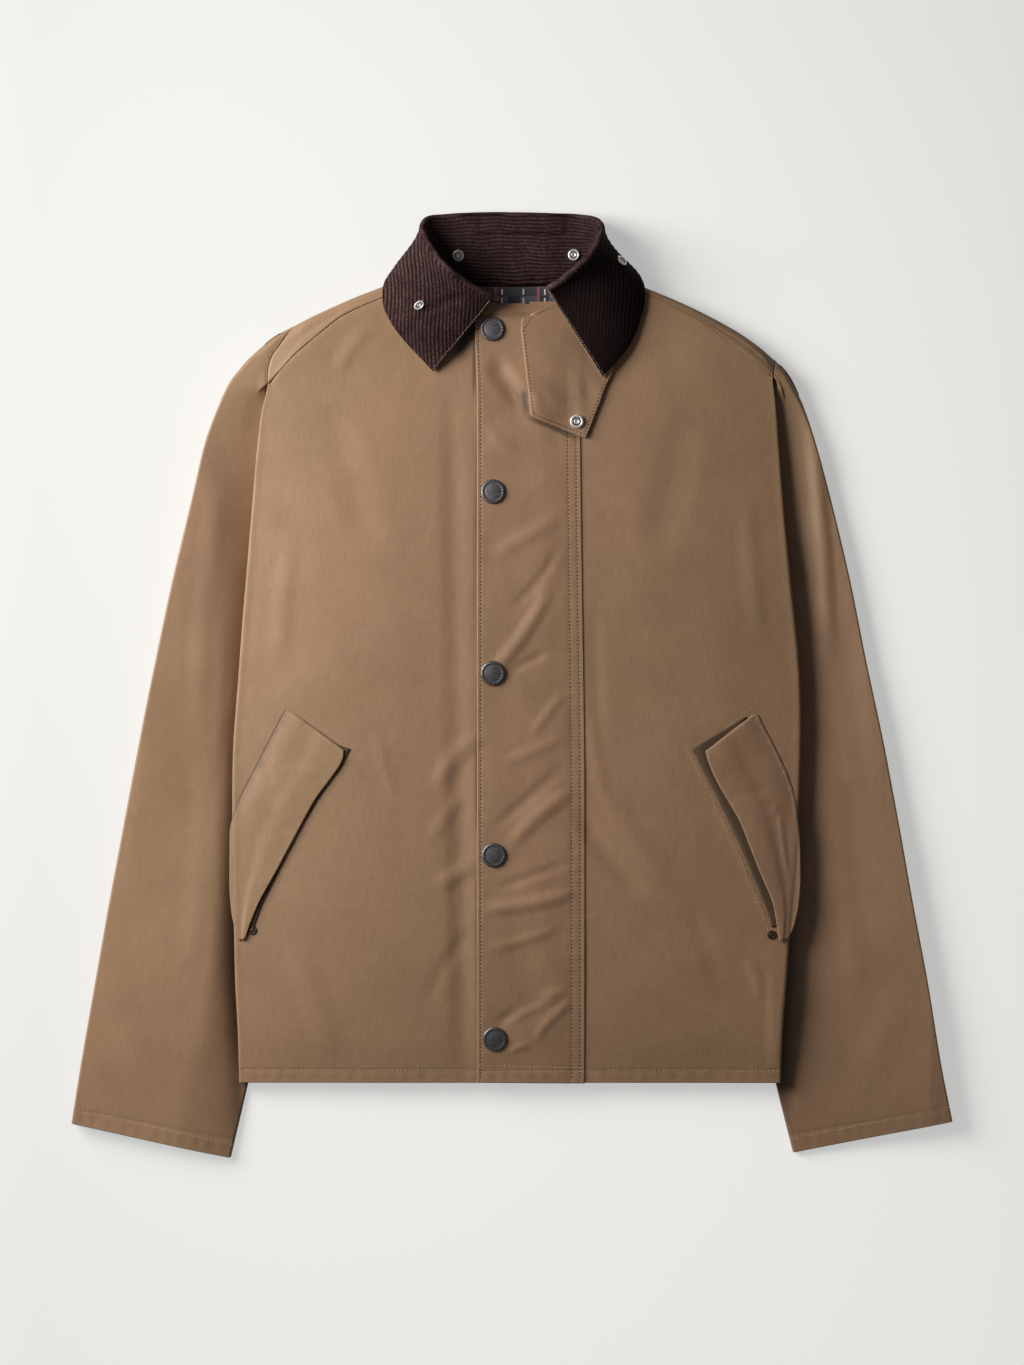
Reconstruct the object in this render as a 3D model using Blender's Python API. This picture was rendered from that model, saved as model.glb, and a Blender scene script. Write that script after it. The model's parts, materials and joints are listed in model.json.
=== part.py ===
"""A waxed cotton jacket lying on its back, buttoned, with its sleeves straight down beside the body.

The jacket lies on the plane z = 0 with its collar towards +Y and the wearer's left side at +X. Every
piece of cloth is a closed wall of its own: the back lies on the floor, the fronts turn under at the
sides, and the sleeves lie flat under the body's edges. Tables and sizes are in millimetres, the
meshes in metres. A side's tables hold distances from the centre line, so they read the same for the
wearer's right (negative X) and left (positive X).
"""

import math

import bpy
import numpy as np
from mathutils import Vector
from mathutils.bvhtree import BVHTree

for item in list(bpy.data.objects):
    bpy.data.objects.remove(item, do_unlink=True)

MM = 0.001

# Driving dimensions, in millimetres.
CLOTH = 1.3  # waxed cotton with its lining, as one wall
FLAP_CLOTH = 2.0  # doubled cloth of the storm flap, the latch and the pocket flaps
COLLAR_CLOTH = 2.2  # corduroy on its under-collar, without the wales
WALE_HEIGHT = 0.5
SEAM_GAP = 0.3  # between two pieces sewn edge to edge
LYING_GAP = 0.4  # between two pieces that lie on each other
HEM_Y = -334.0
UNDERARM_X, UNDERARM_Y = 160.0, -10.0
FRONT_OPENING_X = {"right": 12.0, "left": 15.0}  # both front edges, in X, under the storm flap
SLEEVE_UNDER = 4.6  # height of a sleeve where the body lies on it
SHOULDER_FOLD_RADIUS = 8.1
SLEEVE_EDGE_RADIUS = 3.0
STORM_FLAP_LEFT_X, STORM_FLAP_RIGHT_X = -28.6, 59.4
STORM_FLAP_TOP_Y = 321.0
SNAP_DIAMETER, SNAP_HEIGHT = 20.6, 2.4
LATCH_SNAP_DIAMETER = 11.8
COLLAR_SNAP_DIAMETER = 10.0
RIVET_DIAMETER = 7.6
SNAP_SMALL_HEIGHT, COLLAR_SNAP_HEIGHT, RIVET_HEIGHT = 2.0, 1.6, 1.4
FACING_CLOTH = 0.9
LINING_CLOTH = 1.0
LATCH_CLOTH = 1.8
STAND_WALES, FALL_WALES = 12, 17

SIDE_SIGN = {"right": -1.0, "left": 1.0}
MIDDLE_Y = -1.55  # the middle of the whole length, cuffs to collar, which lies over the origin

# The body's visible side edge: (y, distance from the centre line).
SIDE_EDGE = {
    "right": (
        (-345.0, 227.5), (-333.0, 228.3), (-298.0, 230.0), (-214.0, 231.2), (-114.0, 232.1),
        (-47.0, 230.8), (4.0, 228.3), (54.0, 224.5), (104.0, 221.6), (155.0, 217.8),
        (205.0, 213.2), (230.0, 209.8), (252.0, 204.9), (268.0, 204.8), (301.2, 183.4),
    ),
    "left": (
        (-345.0, 227.0), (-333.0, 227.5), (-298.0, 228.0), (-214.0, 230.8), (-114.0, 234.6),
        (-63.0, 236.3), (-13.0, 237.5), (37.0, 238.0), (88.0, 235.2), (138.0, 230.2),
        (188.0, 225.2), (239.0, 220.9), (258.0, 218.9), (266.0, 219.8), (273.0, 220.4),
    ),
}

# The shoulder fold, seen from above, from the neck to the top of the armhole: (distance, y).
SHOULDER_FOLD = {
    "right": (
        (79.1, 347.0), (96.0, 339.6), (114.0, 332.4), (130.0, 326.3),
        (144.0, 320.3), (159.0, 313.4), (171.5, 307.5), (183.4, 301.2),
    ),
    "left": (
        (79.1, 347.0), (98.0, 339.2), (120.3, 330.2), (143.0, 320.6),
        (165.0, 310.0), (190.0, 296.2), (208.6, 283.1), (220.4, 273.0),
    ),
}

# The forward shoulder seam, where the back meets the front, at the same eight stations.
FORWARD_SEAM = {
    "right": (
        (83.8, 335.8), (108.2, 324.9), (129.5, 315.8), (145.6, 307.3),
        (161.6, 294.5), (182.9, 276.3), (193.7, 264.5), (204.2, 252.6),
    ),
    "left": (
        (85.5, 338.3), (110.5, 328.7), (134.1, 317.9), (160.8, 303.5),
        (182.2, 286.9), (203.6, 271.4), (214.3, 262.9), (218.4, 258.4),
    ),
}

# The front neckline, from the centre line to the neck point: (distance, y).
FRONT_NECK = {
    "right": ((10.0, 319.4), (35.2, 322.9), (60.3, 327.9)),
    "left": ((40.2, 321.2), (65.3, 328.7)),
}

# The back neckline: (x, y).
BACK_NECK = (
    (-74.2, 341.0), (-52.3, 337.7), (-27.0, 336.0), (0.0, 335.6),
    (27.0, 336.0), (52.3, 337.7), (74.2, 341.0),
)

# The side seam below the arm, where the turned-under front meets the back: (y, distance).
SIDE_SEAM = (
    (HEM_Y, 206.0), (-280.0, 195.5), (-220.0, 185.0), (-150.0, 172.5),
    (-80.0, 162.0), (-40.0, 156.8), (-24.0, 155.6),
)

# The front's half of the armhole, hidden under the body's edge, from the shoulder down: (y, distance).
FRONT_ARMHOLE = {
    "right": (
        (249.5, 205.4), (228.0, 206.0), (190.0, 204.5), (145.0, 201.0), (98.0, 194.5), (52.0, 184.5),
        (14.0, 171.5),
    ),
    "left": (
        (255.6, 219.6), (232.0, 216.5), (194.0, 213.5), (148.0, 207.5), (100.0, 198.5), (54.0, 186.5),
        (15.0, 172.5),
    ),
}

# The back's half of the armhole, on the floor, from the underarm up: (y, distance).
BACK_ARMHOLE = {
    "right": (
        (15.0, 168.5), (50.0, 178.0), (90.0, 184.5), (140.0, 188.5), (190.0, 189.8), (232.0, 188.6),
        (264.0, 184.5),
    ),
    "left": (
        (15.0, 169.0), (50.0, 180.0), (90.0, 188.0), (135.0, 195.0), (175.0, 201.0), (212.0, 206.5),
        (240.0, 210.5),
    ),
}

# The armhole seam over the shoulder, from the floor round the fold to the forward seam: (distance, y, z).
SHOULDER_ARMHOLE = {
    "right": (
        (179.0, 292.6, 0.0), (182.0, 297.6, 2.2), (183.4, 301.2, 7.5), (187.0, 296.6, 12.6),
        (194.0, 286.0, 14.9), (201.0, 275.6, 15.2), (204.4, 264.4, 15.6), (204.6, 252.6, 16.2),
    ),
    "left": (
        (214.0, 264.6, 0.0), (218.0, 269.0, 2.2), (220.4, 273.0, 7.5), (220.8, 270.0, 11.0),
        (220.6, 267.2, 13.4), (220.0, 264.4, 14.9), (219.4, 261.4, 15.8), (218.8, 258.4, 16.2),
    ),
}

# The outer edge of each sleeve from the shoulder to the cuff: (distance, y).
SLEEVE_OUTER = {
    "right": (
        (183.4, 301.2), (197.0, 293.4), (210.5, 283.3), (222.3, 273.2), (230.7, 263.1), (238.3, 253.0),
        (247.5, 232.8), (258.5, 202.5), (269.4, 155.3), (285.4, 88.0), (299.7, 20.6), (313.2, -46.7),
        (325.8, -114.1), (338.4, -181.4), (350.2, -248.8), (362.0, -316.1), (370.4, -368.3),
    ),
    "left": (
        (220.4, 273.0), (229.0, 263.1), (235.7, 253.0), (245.8, 232.8), (255.9, 202.5), (268.6, 155.3),
        (284.6, 88.0), (298.0, 20.6), (312.3, -46.7), (325.0, -114.1), (336.8, -181.4),
        (349.4, -248.8), (360.3, -316.1), (370.4, -366.6),
    ),
}

# The inner edge of each sleeve from the underarm to the cuff, under the body until the hem.
SLEEVE_INNER = {
    "right": (
        (UNDERARM_X, UNDERARM_Y), (167.0, -40.0), (173.5, -80.0), (184.5, -150.0), (197.5, -220.0),
        (209.5, -280.0), (222.4, -336.6), (236.7, -398.1),
    ),
    "left": (
        (UNDERARM_X, UNDERARM_Y), (167.0, -40.0), (173.5, -80.0), (184.5, -150.0), (197.5, -220.0),
        (209.5, -280.0), (222.4, -336.6), (236.7, -394.0),
    ),
}

# Heights along the jacket, at each y: what the body's edge lies on, the radius of its side fold, the
# middle of the front, and the middle of a sleeve.
HEIGHTS = (
    # y, sleeve under body, fold radius, front, sleeve
    (-400.0, 4.6, 4.0, 14.0, 9.5),
    (-334.0, 4.6, 4.0, 14.5, 11.5),
    (-300.0, 4.6, 5.2, 18.5, 12.5),
    (-240.0, 4.6, 6.0, 22.5, 13.0),
    (-100.0, 4.6, 6.2, 25.0, 13.5),
    (120.0, 4.6, 6.2, 25.0, 14.5),
    (180.0, 5.6, 5.6, 23.5, 15.0),
    (220.0, 8.2, 4.2, 22.0, 15.0),
    (240.0, 10.6, 2.9, 21.0, 15.0),
    (253.0, 12.2, 1.9, 20.5, 15.0),
    (275.0, 13.8, 1.9, 18.6, 15.0),
    (300.0, 14.0, 1.9, 17.4, 15.0),
    (345.0, 14.0, 1.9, 16.6, 15.0),
)
FRONT_RISE = 90.0  # how far in from the side fold the front reaches its full height
SLEEVE_DIP = 6.0  # how far out from the body's edge a sleeve stays low
SLEEVE_RISE = 40.0  # how much further out it reaches its full height
SLEEVE_PILLOW = 22.0  # how far in from its outer edge it does

# The largest folds of the fronts and of the storm flap, as soft ridges (up) and troughs (down).
FRONT_CREASES = (
    # x0, y0, x1, y1, half width, height
    (-52.0, 240.0, -50.0, -60.0, 15.0, -1.1),
    (-50.0, -60.0, -46.0, -320.0, 15.0, -1.1),
    (-34.0, -36.0, -78.0, -96.0, 14.0, 1.2),
    (-34.0, -150.0, -92.0, -186.0, 14.0, 1.1),
    (64.0, -104.0, 122.0, -190.0, 15.0, -1.3),
    (84.0, -96.0, 134.0, -168.0, 15.0, 1.0),
    (205.0, -236.0, 212.0, -320.0, 11.0, 1.2),
    (-150.0, 225.0, -120.0, 120.0, 22.0, -1.0),
    (150.0, 230.0, 120.0, 110.0, 24.0, -1.0),
    (-180.0, -225.0, -150.0, -310.0, 18.0, 1.0),
)
FLAP_CREASES = (
    (-2.0, 30.0, 34.0, 82.0, 9.0, 1.6),
    (-20.0, -140.0, 50.0, -88.0, 10.0, 1.4),
    (-26.0, -189.0, 54.0, -172.0, 9.0, 1.5),
    (-4.0, -280.0, 44.0, -256.0, 9.0, 1.2),
    (-14.0, 108.0, 40.0, 140.0, 10.0, 0.9),
)

# The collar, from its front end on the wearer's right round the neck to the other end. Each row is a
# section of its under side: the neck seam, the top of the roll and the outer edge; how far the roll
# leans back from upright, the side that the fall hangs on (the angle about Z, and how much it droops),
# how far round the roll turns, the upright start of the stand, and the crown of the fall.
COLLAR_SECTIONS = (
    # neck x, y, z, roll x, y, z, edge x, y, z, lean, side, droop, turn, rise, crown
    (-11.0, 321.4, 20.5, -16.5, 322.8, 38.0, -65.9, 262.4, 21.6, 0.0, 230.0, 0.0, 62.0, 7.0, 3.0),
    (-24.0, 323.6, 20.0, -26.0, 326.5, 42.0, -74.4, 272.0, 21.2, 0.0, 228.0, 0.0, 62.0, 8.0, 4.0),
    (-38.0, 326.2, 19.6, -37.0, 331.8, 46.0, -84.2, 282.6, 20.8, 0.0, 226.0, 0.0, 64.0, 9.0, 5.0),
    (-51.0, 328.9, 19.0, -46.5, 338.0, 49.0, -93.0, 293.0, 20.0, 4.0, 222.0, 0.0, 68.0, 10.0, 5.0),
    (-63.0, 331.6, 18.6, -54.5, 345.0, 51.0, -100.6, 304.6, 19.0, 8.0, 216.0, 3.0, 72.0, 10.0, 5.0),
    (-73.0, 335.6, 18.0, -61.0, 352.5, 50.0, -106.4, 318.0, 18.4, 15.0, 206.0, 6.0, 78.0, 10.0, 4.0),
    (-77.4, 339.4, 13.5, -66.0, 360.5, 46.0, -107.6, 333.6, 17.6, 25.0, 196.0, 12.0, 84.0, 9.0, 3.0),
    (-76.6, 345.4, 8.0, -69.0, 369.0, 38.0, -103.4, 346.4, 10.0, 38.0, 186.0, 22.0, 90.0, 8.0, 2.0),
    (-70.0, 345.6, 3.6, -70.0, 378.0, 27.0, -93.4, 356.0, 4.6, 56.0, 180.0, 38.0, 90.0, 6.0, 1.0),
    (-61.0, 342.6, 2.4, -67.6, 386.0, 16.0, -79.0, 359.0, 2.9, 74.0, 168.0, 62.0, 90.0, 5.0, 0.0),
    (-48.0, 339.6, 2.0, -56.0, 391.0, 9.6, -56.0, 355.0, 2.9, 86.0, 130.0, 84.0, 90.0, 5.0, 0.0),
    (-32.0, 338.2, 2.0, -36.0, 392.6, 8.4, -36.0, 352.0, 2.9, 90.0, 90.0, 90.0, 90.0, 5.0, 0.0),
    (-16.0, 337.7, 2.0, -18.0, 392.8, 8.2, -18.0, 351.0, 2.9, 90.0, 90.0, 90.0, 90.0, 5.0, 0.0),
    (0.0, 337.6, 2.0, 0.0, 392.6, 8.2, 0.0, 351.0, 2.9, 90.0, 90.0, 90.0, 90.0, 5.0, 0.0),
    (16.0, 337.7, 2.0, 18.0, 392.2, 8.2, 18.0, 351.0, 2.9, 90.0, 90.0, 90.0, 90.0, 5.0, 0.0),
    (32.0, 338.2, 2.0, 36.0, 391.6, 8.4, 36.0, 352.0, 2.9, 90.0, 90.0, 90.0, 90.0, 5.0, 0.0),
    (48.0, 339.6, 2.0, 56.0, 390.4, 9.6, 56.0, 355.0, 2.9, 86.0, 50.0, 84.0, 90.0, 5.0, 0.0),
    (61.0, 342.6, 2.4, 67.6, 385.4, 16.0, 78.6, 360.0, 2.9, 74.0, 12.0, 62.0, 90.0, 5.0, 0.0),
    (70.0, 345.6, 3.6, 70.0, 377.6, 27.0, 91.6, 355.6, 4.6, 56.0, 0.0, 38.0, 90.0, 6.0, 1.0),
    (76.6, 345.4, 8.0, 69.6, 368.6, 38.0, 103.0, 346.4, 10.0, 38.0, -6.0, 22.0, 90.0, 8.0, 2.0),
    (77.6, 340.4, 13.5, 67.6, 360.4, 46.0, 109.2, 333.6, 17.6, 25.0, -16.0, 12.0, 84.0, 9.0, 3.0),
    (74.4, 336.6, 18.0, 63.0, 353.6, 50.0, 109.6, 320.0, 18.8, 15.0, -26.0, 6.0, 78.0, 10.0, 4.0),
    (65.0, 332.4, 18.6, 56.6, 347.2, 51.0, 106.2, 306.0, 19.6, 8.0, -36.0, 3.0, 72.0, 10.0, 5.0),
    (55.0, 328.6, 19.2, 49.0, 340.6, 49.0, 100.6, 290.6, 21.0, 4.0, -42.0, 0.0, 68.0, 10.0, 5.0),
    (44.0, 325.0, 19.8, 40.6, 334.4, 45.0, 92.0, 276.6, 22.8, 0.0, -47.0, 0.0, 64.0, 9.0, 4.0),
    (34.0, 322.8, 20.4, 30.5, 328.6, 41.0, 75.2, 257.6, 24.6, 0.0, -56.0, 0.0, 62.0, 8.0, 3.0),
)
COLLAR_ROLL_RADIUS = 1.7  # of the under side, at the back
COLLAR_ROLL_LOOSE = 1.8  # more of it at the front, where the collar rolls more softly

# Each pocket flap from its top corner down: its outer edge, towards the side, and its free edge.
POCKET_FLAP = {
    # outer distance, outer y, free distance, free y, lift of the free edge
    "right": (
        (189.0, -18.6, 136.0, -50.6, 0.6), (200.1, -37.8, 142.2, -58.6, 1.6),
        (213.0, -61.0, 153.0, -74.0, 2.2), (222.0, -84.0, 164.9, -92.6, 2.6),
        (227.6, -108.0, 180.9, -124.2, 2.8), (227.4, -140.0, 193.0, -147.0, 2.6),
        (226.0, -168.0, 204.6, -167.6, 2.4), (224.6, -192.0, 213.8, -189.0, 1.8),
        (222.6, -213.0, 217.6, -211.0, 0.8),
    ),
    "left": (
        (202.1, -21.1, 160.6, -50.0, 1.0), (210.0, -36.0, 164.0, -60.0, 3.0),
        (218.2, -52.0, 170.8, -74.0, 4.4), (226.0, -74.0, 176.4, -86.0, 5.2),
        (231.0, -104.0, 192.6, -118.0, 5.6), (230.6, -136.0, 202.0, -141.0, 5.0),
        (229.0, -164.0, 210.6, -163.0, 4.2), (226.6, -190.0, 218.0, -186.0, 3.0),
        (223.6, -214.0, 219.0, -213.0, 1.4),
    ),
}

# The dark facing that shows in each pocket's mouth: from the frame's edge to under the flap.
POCKET_FACING = {
    # mouth distance, mouth y, hidden distance, hidden y
    "right": (
        (136.4, -53.4, 144.4, -50.4), (147.0, -69.4, 156.0, -66.4), (162.0, -92.6, 171.6, -89.0),
        (177.0, -122.0, 186.6, -118.0), (194.6, -155.0, 204.0, -150.6), (209.0, -184.0, 216.6, -181.0),
        (216.4, -204.0, 220.4, -203.0),
    ),
    "left": (
        (150.4, -53.4, 172.0, -49.0), (160.6, -70.6, 182.0, -66.0), (171.8, -89.1, 192.0, -86.0),
        (187.7, -122.5, 206.0, -118.0), (203.8, -164.3, 217.6, -160.0), (213.4, -193.0, 221.0, -190.0),
        (217.0, -208.0, 220.8, -207.0),
    ),
}

# The throat latch from its free end up: left edge x, y and right edge x, y.
THROAT_LATCH = (
    (16.2, 224.4, 61.3, 206.5), (14.9, 235.0, 66.0, 218.0), (13.4, 250.0, 72.6, 235.0),
    (11.6, 266.0, 78.2, 250.0), (9.8, 282.0, 83.4, 261.0), (8.2, 296.0, 84.6, 272.0),
    (9.0, 306.0, 80.0, 284.0),
)

SNAP_PLACES = ((-16.5, 297.6), (-15.9, 161.0), (-16.1, 9.4), (-15.2, -142.6), (-14.4, -296.6))
LATCH_SNAP_PLACE = (54.2, 219.7)
RIVET_PLACE = {"right": (218.0, -206.0), "left": (219.6, -208.6)}
COLLAR_SNAP_PLACES = (
    # name, seen from (x, y, z), along
    ("collar_socket_right", (-45.2, 360.5, 90.0), (0.0, 0.0, -1.0)),
    ("collar_socket_left", (52.0, 361.0, 90.0), (0.0, 0.0, -1.0)),
    ("collar_eyelet_right", (-77.1, 316.2, 90.0), (0.0, 0.0, -1.0)),
    ("collar_eyelet_left", (140.0, 353.8, 26.0), (-1.0, 0.0, 0.0)),
)
LINING_COLUMNS, LINING_ROWS = (-56.0, -30.0, 0.0, 30.0, 56.0), (292.0, 312.0, 333.4)

# Colour (linear), roughness and metallic of each sub-part's material.
MATERIALS = {
    "waxed_cotton": ((0.235, 0.148, 0.088), 0.62, 0.0),
    "corduroy": ((0.028, 0.015, 0.013), 0.85, 0.0),
    "check_lining": ((0.09, 0.10, 0.13), 0.8, 0.0),
    "dark_facing": ((0.03, 0.022, 0.018), 0.85, 0.0),
    "gunmetal": ((0.055, 0.05, 0.048), 0.38, 0.9),
    "bright_nickel": ((0.55, 0.52, 0.48), 0.3, 1.0),
}


def material(sub_part, look):
    """A Principled material of the sub-part's own."""
    colour, roughness, metallic = MATERIALS[look]
    made = bpy.data.materials.new(sub_part)
    made.use_nodes = True
    shader = made.node_tree.nodes["Principled BSDF"]
    shader.inputs["Base Color"].default_value = (*colour, 1.0)
    shader.inputs["Roughness"].default_value = roughness
    shader.inputs["Metallic"].default_value = metallic
    return made


def ease(share):
    """0 to 1 with a level start and end."""
    held = np.clip(share, 0.0, 1.0)
    return held * held * (3.0 - 2.0 * held)


def lookup(table, at, column=1):
    """A column of a table at a value of its first column, straight between rows."""
    rows = np.array(sorted(table))
    return np.interp(at, rows[:, 0], rows[:, column])


def blend(start, end, share):
    return start + (end - start) * share


def along(path, shares):
    """Points of a path at shares of its length."""
    points = np.array(path, float)
    steps = np.linalg.norm(np.diff(points, axis=0), axis=1)
    reached = np.concatenate([[0.0], np.cumsum(steps)]) / steps.sum()
    axes = range(points.shape[1])
    return np.stack([np.interp(shares, reached, points[:, axis]) for axis in axes], axis=-1)


def distance_to(path, x, y):
    """The shortest distance in plan from a point to a path."""
    points = np.array(path, float)
    starts, steps = points[:-1], np.diff(points, axis=0)
    offset = np.array([x, y]) - starts
    share = np.clip((offset * steps).sum(axis=1) / (steps * steps).sum(axis=1), 0.0, 1.0)
    return np.linalg.norm(offset - steps * share[:, None], axis=1).min()


def crease_height(creases, x, y):
    """What the creases add to a surface at (x, y)."""
    total = 0.0
    for x0, y0, x1, y1, half_width, height in creases:
        run_x, run_y = x1 - x0, y1 - y0
        length = math.hypot(run_x, run_y)
        share = ((x - x0) * run_x + (y - y0) * run_y) / length**2
        away = abs((x - x0) * run_y - (y - y0) * run_x) / length
        ends = ease((share + 0.15) / 0.3) * ease((1.15 - share) / 0.3)
        total += height * ends * (1.0 - ease(away / half_width))
    return total


def lying_height(y):
    """What the body's edge lies on: the flattened sleeve under it."""
    return lookup(HEIGHTS, y, 1)


def sleeve_under(y):
    """A sleeve's upper surface where the body lies on it, a little lower where it climbs to the shoulder."""
    return lying_height(y) - 0.3 * ease((y - 120.0) / 60.0)


def front_height(side, distance, y):
    """The front's outer surface, from the top of its side fold to the middle."""
    radius = lookup(HEIGHTS, y, 2)
    fold_top = lying_height(y) + LYING_GAP + 2.0 * radius
    inward = lookup(SIDE_EDGE[side], min(y, 253.0)) - radius - distance
    rise = math.sin(0.5 * math.pi * min(max(inward, 0.0) / FRONT_RISE, 1.0))
    level = blend(fold_top, lookup(HEIGHTS, y, 3), rise)
    return level + crease_height(FRONT_CREASES, SIDE_SIGN[side] * distance, y)


def sleeve_height(side, distance, y, pillow):
    """A sleeve's upper surface, low under the body and full where it lies free."""
    under = sleeve_under(y)
    outward = distance - lookup(SIDE_EDGE[side], y)
    full = blend(under, lookup(HEIGHTS, y, 4), ease((outward - SLEEVE_DIP) / SLEEVE_RISE))
    from_outer = min(distance_to(SLEEVE_OUTER[side], distance, y) / pillow, 1.0)
    from_inner = distance_to(SLEEVE_INNER[side], distance, y)
    edge = SLEEVE_EDGE_RADIUS
    height = blend(edge, full, math.sqrt(1.0 - (1.0 - from_outer) ** 2))
    inner_radius = SLEEVE_UNDER / 2.0
    if from_inner < inner_radius:
        height = blend(inner_radius, height, math.sqrt(1.0 - (1.0 - from_inner / inner_radius) ** 2))
    return height


def grid_quads(rows, columns, closed=False):
    """The quads of a grid of points, row after row; closed joins each row's end to its start."""
    quads = []
    last = columns if closed else columns - 1
    for row in range(rows - 1):
        for column in range(last):
            beside = (column + 1) % columns
            start = row * columns
            above = start + columns
            quads.append((start + column, start + beside, above + beside, above + column))
    return quads


def vertex_normals(points, faces):
    normals = np.zeros_like(points)
    for face in faces:
        corners = points[list(face)]
        across = np.cross(corners[2] - corners[0], corners[-1] - corners[1])
        for index in face:
            normals[index] += across
    return normals / np.linalg.norm(normals, axis=1)[:, None]


def open_edges(faces):
    """The directed edges that only one face has."""
    edges = {(face[i], face[(i + 1) % len(face)]) for face in faces for i in range(len(face))}
    return [(a, b) for a, b in edges if (b, a) not in edges]


lying_pieces = {}


def add_piece(name, look, points, faces):
    """An object of the scene from points in millimetres and faces that look outward."""
    mesh = bpy.data.meshes.new(name)
    middle = np.array([0.0, MIDDLE_Y, 0.0])
    mesh.from_pydata([tuple((point - middle) * MM) for point in points], [], [tuple(face) for face in faces])
    mesh.materials.append(material(name + "_material", look))
    mesh.validate()
    mesh.update()
    made = bpy.data.objects.new(name, mesh)
    bpy.context.scene.collection.objects.link(made)
    corners = [Vector(point) for point in points]
    lying_pieces[name] = BVHTree.FromPolygons(corners, [tuple(face) for face in faces])
    return made


def add_cloth(name, look, outer, faces, thickness=CLOTH):
    """A wall of cloth: the outer points, the same points moved in, and a rim round every open edge."""
    outer = np.array(outer, float)
    inner = outer - vertex_normals(outer, faces) * thickness
    count = len(outer)
    walls = [tuple(face) for face in faces]
    walls += [tuple(index + count for index in reversed(face)) for face in faces]
    walls += [(b, a, a + count, b + count) for a, b in open_edges(faces)]
    return add_piece(name, look, np.concatenate([outer, inner]), walls)


def resting_height(names, x, y, reach=4.0):
    """The highest point of the named pieces within reach of (x, y), seen from above."""
    found = []
    for name in names:
        for step in range(17):
            away = (0.0, 0.5, 1.0)[(step + 7) // 8]
            angle = math.radians(45.0 * step)
            start = Vector((x + reach * away * math.cos(angle), y + reach * away * math.sin(angle), 200.0))
            hit = lying_pieces[name].ray_cast(start, Vector((0.0, 0.0, -1.0)))[0]
            if hit:
                found.append(hit.z)
    return max(found)


def mirrored(side, points):
    """Points with their distance from the centre line turned into X."""
    turned = np.array(points, float)
    turned[..., 0] *= SIDE_SIGN[side]
    return turned


def facing_out(side, faces):
    """Faces written for the wearer's left, turned round for the mirrored right."""
    return faces if side == "left" else [tuple(reversed(face)) for face in faces]


# ---------------------------------------------------------------- back
SHOULDER_FOLD_ANGLES = (0.0, 60.0, 90.0, 130.0, 180.0)
SHOULDER_STRIP_ROWS = (0.35, 0.7, 1.0)  # from the fold's end to the forward seam
SHOULDER_STRIP_LEVEL = 0.77  # where the strip is as high as the front beside it


def shoulder_strip(side):
    """The back over the shoulder: rows round the fold and on to the forward seam, at each station."""
    fold = np.array(SHOULDER_FOLD[side])
    seam = np.array(FORWARD_SEAM[side])
    radius = SHOULDER_FOLD_RADIUS
    stations = []
    for outline, front in zip(fold[:-1], seam[:-1]):
        run = front - outline
        length = np.linalg.norm(run)
        inward = run / length
        column = []
        for angle in SHOULDER_FOLD_ANGLES:
            reach = radius * (1.0 - math.sin(math.radians(angle)))
            level = radius * (1.0 - math.cos(math.radians(angle)))
            column.append((*(outline + inward * reach), level))
        rim = front_height(side, *front)
        edge = front - inward * SEAM_GAP
        level_start = np.array(column[-1])
        for share in SHOULDER_STRIP_ROWS:
            place = blend(level_start, np.array([*edge, rim]), share)
            place[2] = blend(level_start[2], rim, ease(share / SHOULDER_STRIP_LEVEL))
            column.append(tuple(place))
        stations.append(column)
    stations.append([(x - SEAM_GAP / 2.0, y, z) for x, y, z in SHOULDER_ARMHOLE[side]])
    return np.array(stations)


def back_side(side):
    """The back's side edge on the floor, from the hem to the armhole's top."""
    seam = [(distance - SEAM_GAP / 2.0, y) for y, distance in SIDE_SEAM]
    armhole = [(distance - SEAM_GAP / 2.0, y) for y, distance in BACK_ARMHOLE[side]]
    return seam + [(UNDERARM_X - SEAM_GAP, UNDERARM_Y)] + armhole


def make_back():
    strips = {side: shoulder_strip(side) for side in SIDE_SIGN}
    sides = {side: np.array(back_side(side) + [tuple(strips[side][-1][0][:2])]) for side in SIDE_SIGN}
    right_top = [(-point[0][0], point[0][1]) for point in strips["right"][::-1]]
    left_top = [(point[0][0], point[0][1]) for point in strips["left"]]
    top = np.array(right_top + list(BACK_NECK) + left_top)
    columns, rows = len(top), len(sides["right"])
    across = (top[:, 0] - top[0, 0]) / (top[-1, 0] - top[0, 0])
    flat = np.zeros((rows, columns, 3))
    for row in range(rows):
        start = np.array([-sides["right"][row, 0], sides["right"][row, 1]])
        end = sides["left"][row]
        upward = (end[1] + start[1] - 2.0 * HEM_Y) / (top[0, 1] + top[-1, 1] - 2.0 * HEM_Y)
        for column in range(columns):
            straight_top = blend(top[0], top[-1], across[column])
            flat[row, column, :2] = blend(start, end, across[column]) + (top[column] - straight_top) * upward
    points = list(flat.reshape(-1, 3))
    faces = [tuple(reversed(face)) for face in grid_quads(rows, columns)]
    top_row = (rows - 1) * columns
    for side, strip in strips.items():
        stations = len(strip)
        base = {}
        for station in range(stations):
            foot = top_row + (stations - 1 - station if side == "right" else columns - stations + station)
            base[station] = [foot]
            for place in mirrored(side, strip[station][1:]):
                base[station].append(len(points))
                points.append(place)
        for station in range(stations - 1):
            for step in range(len(base[station]) - 1):
                near, far = base[station], base[station + 1]
                faces += facing_out(side, [(near[step], near[step + 1], far[step + 1], far[step])])
    return add_cloth("back", "waxed_cotton", points, faces)


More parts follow.
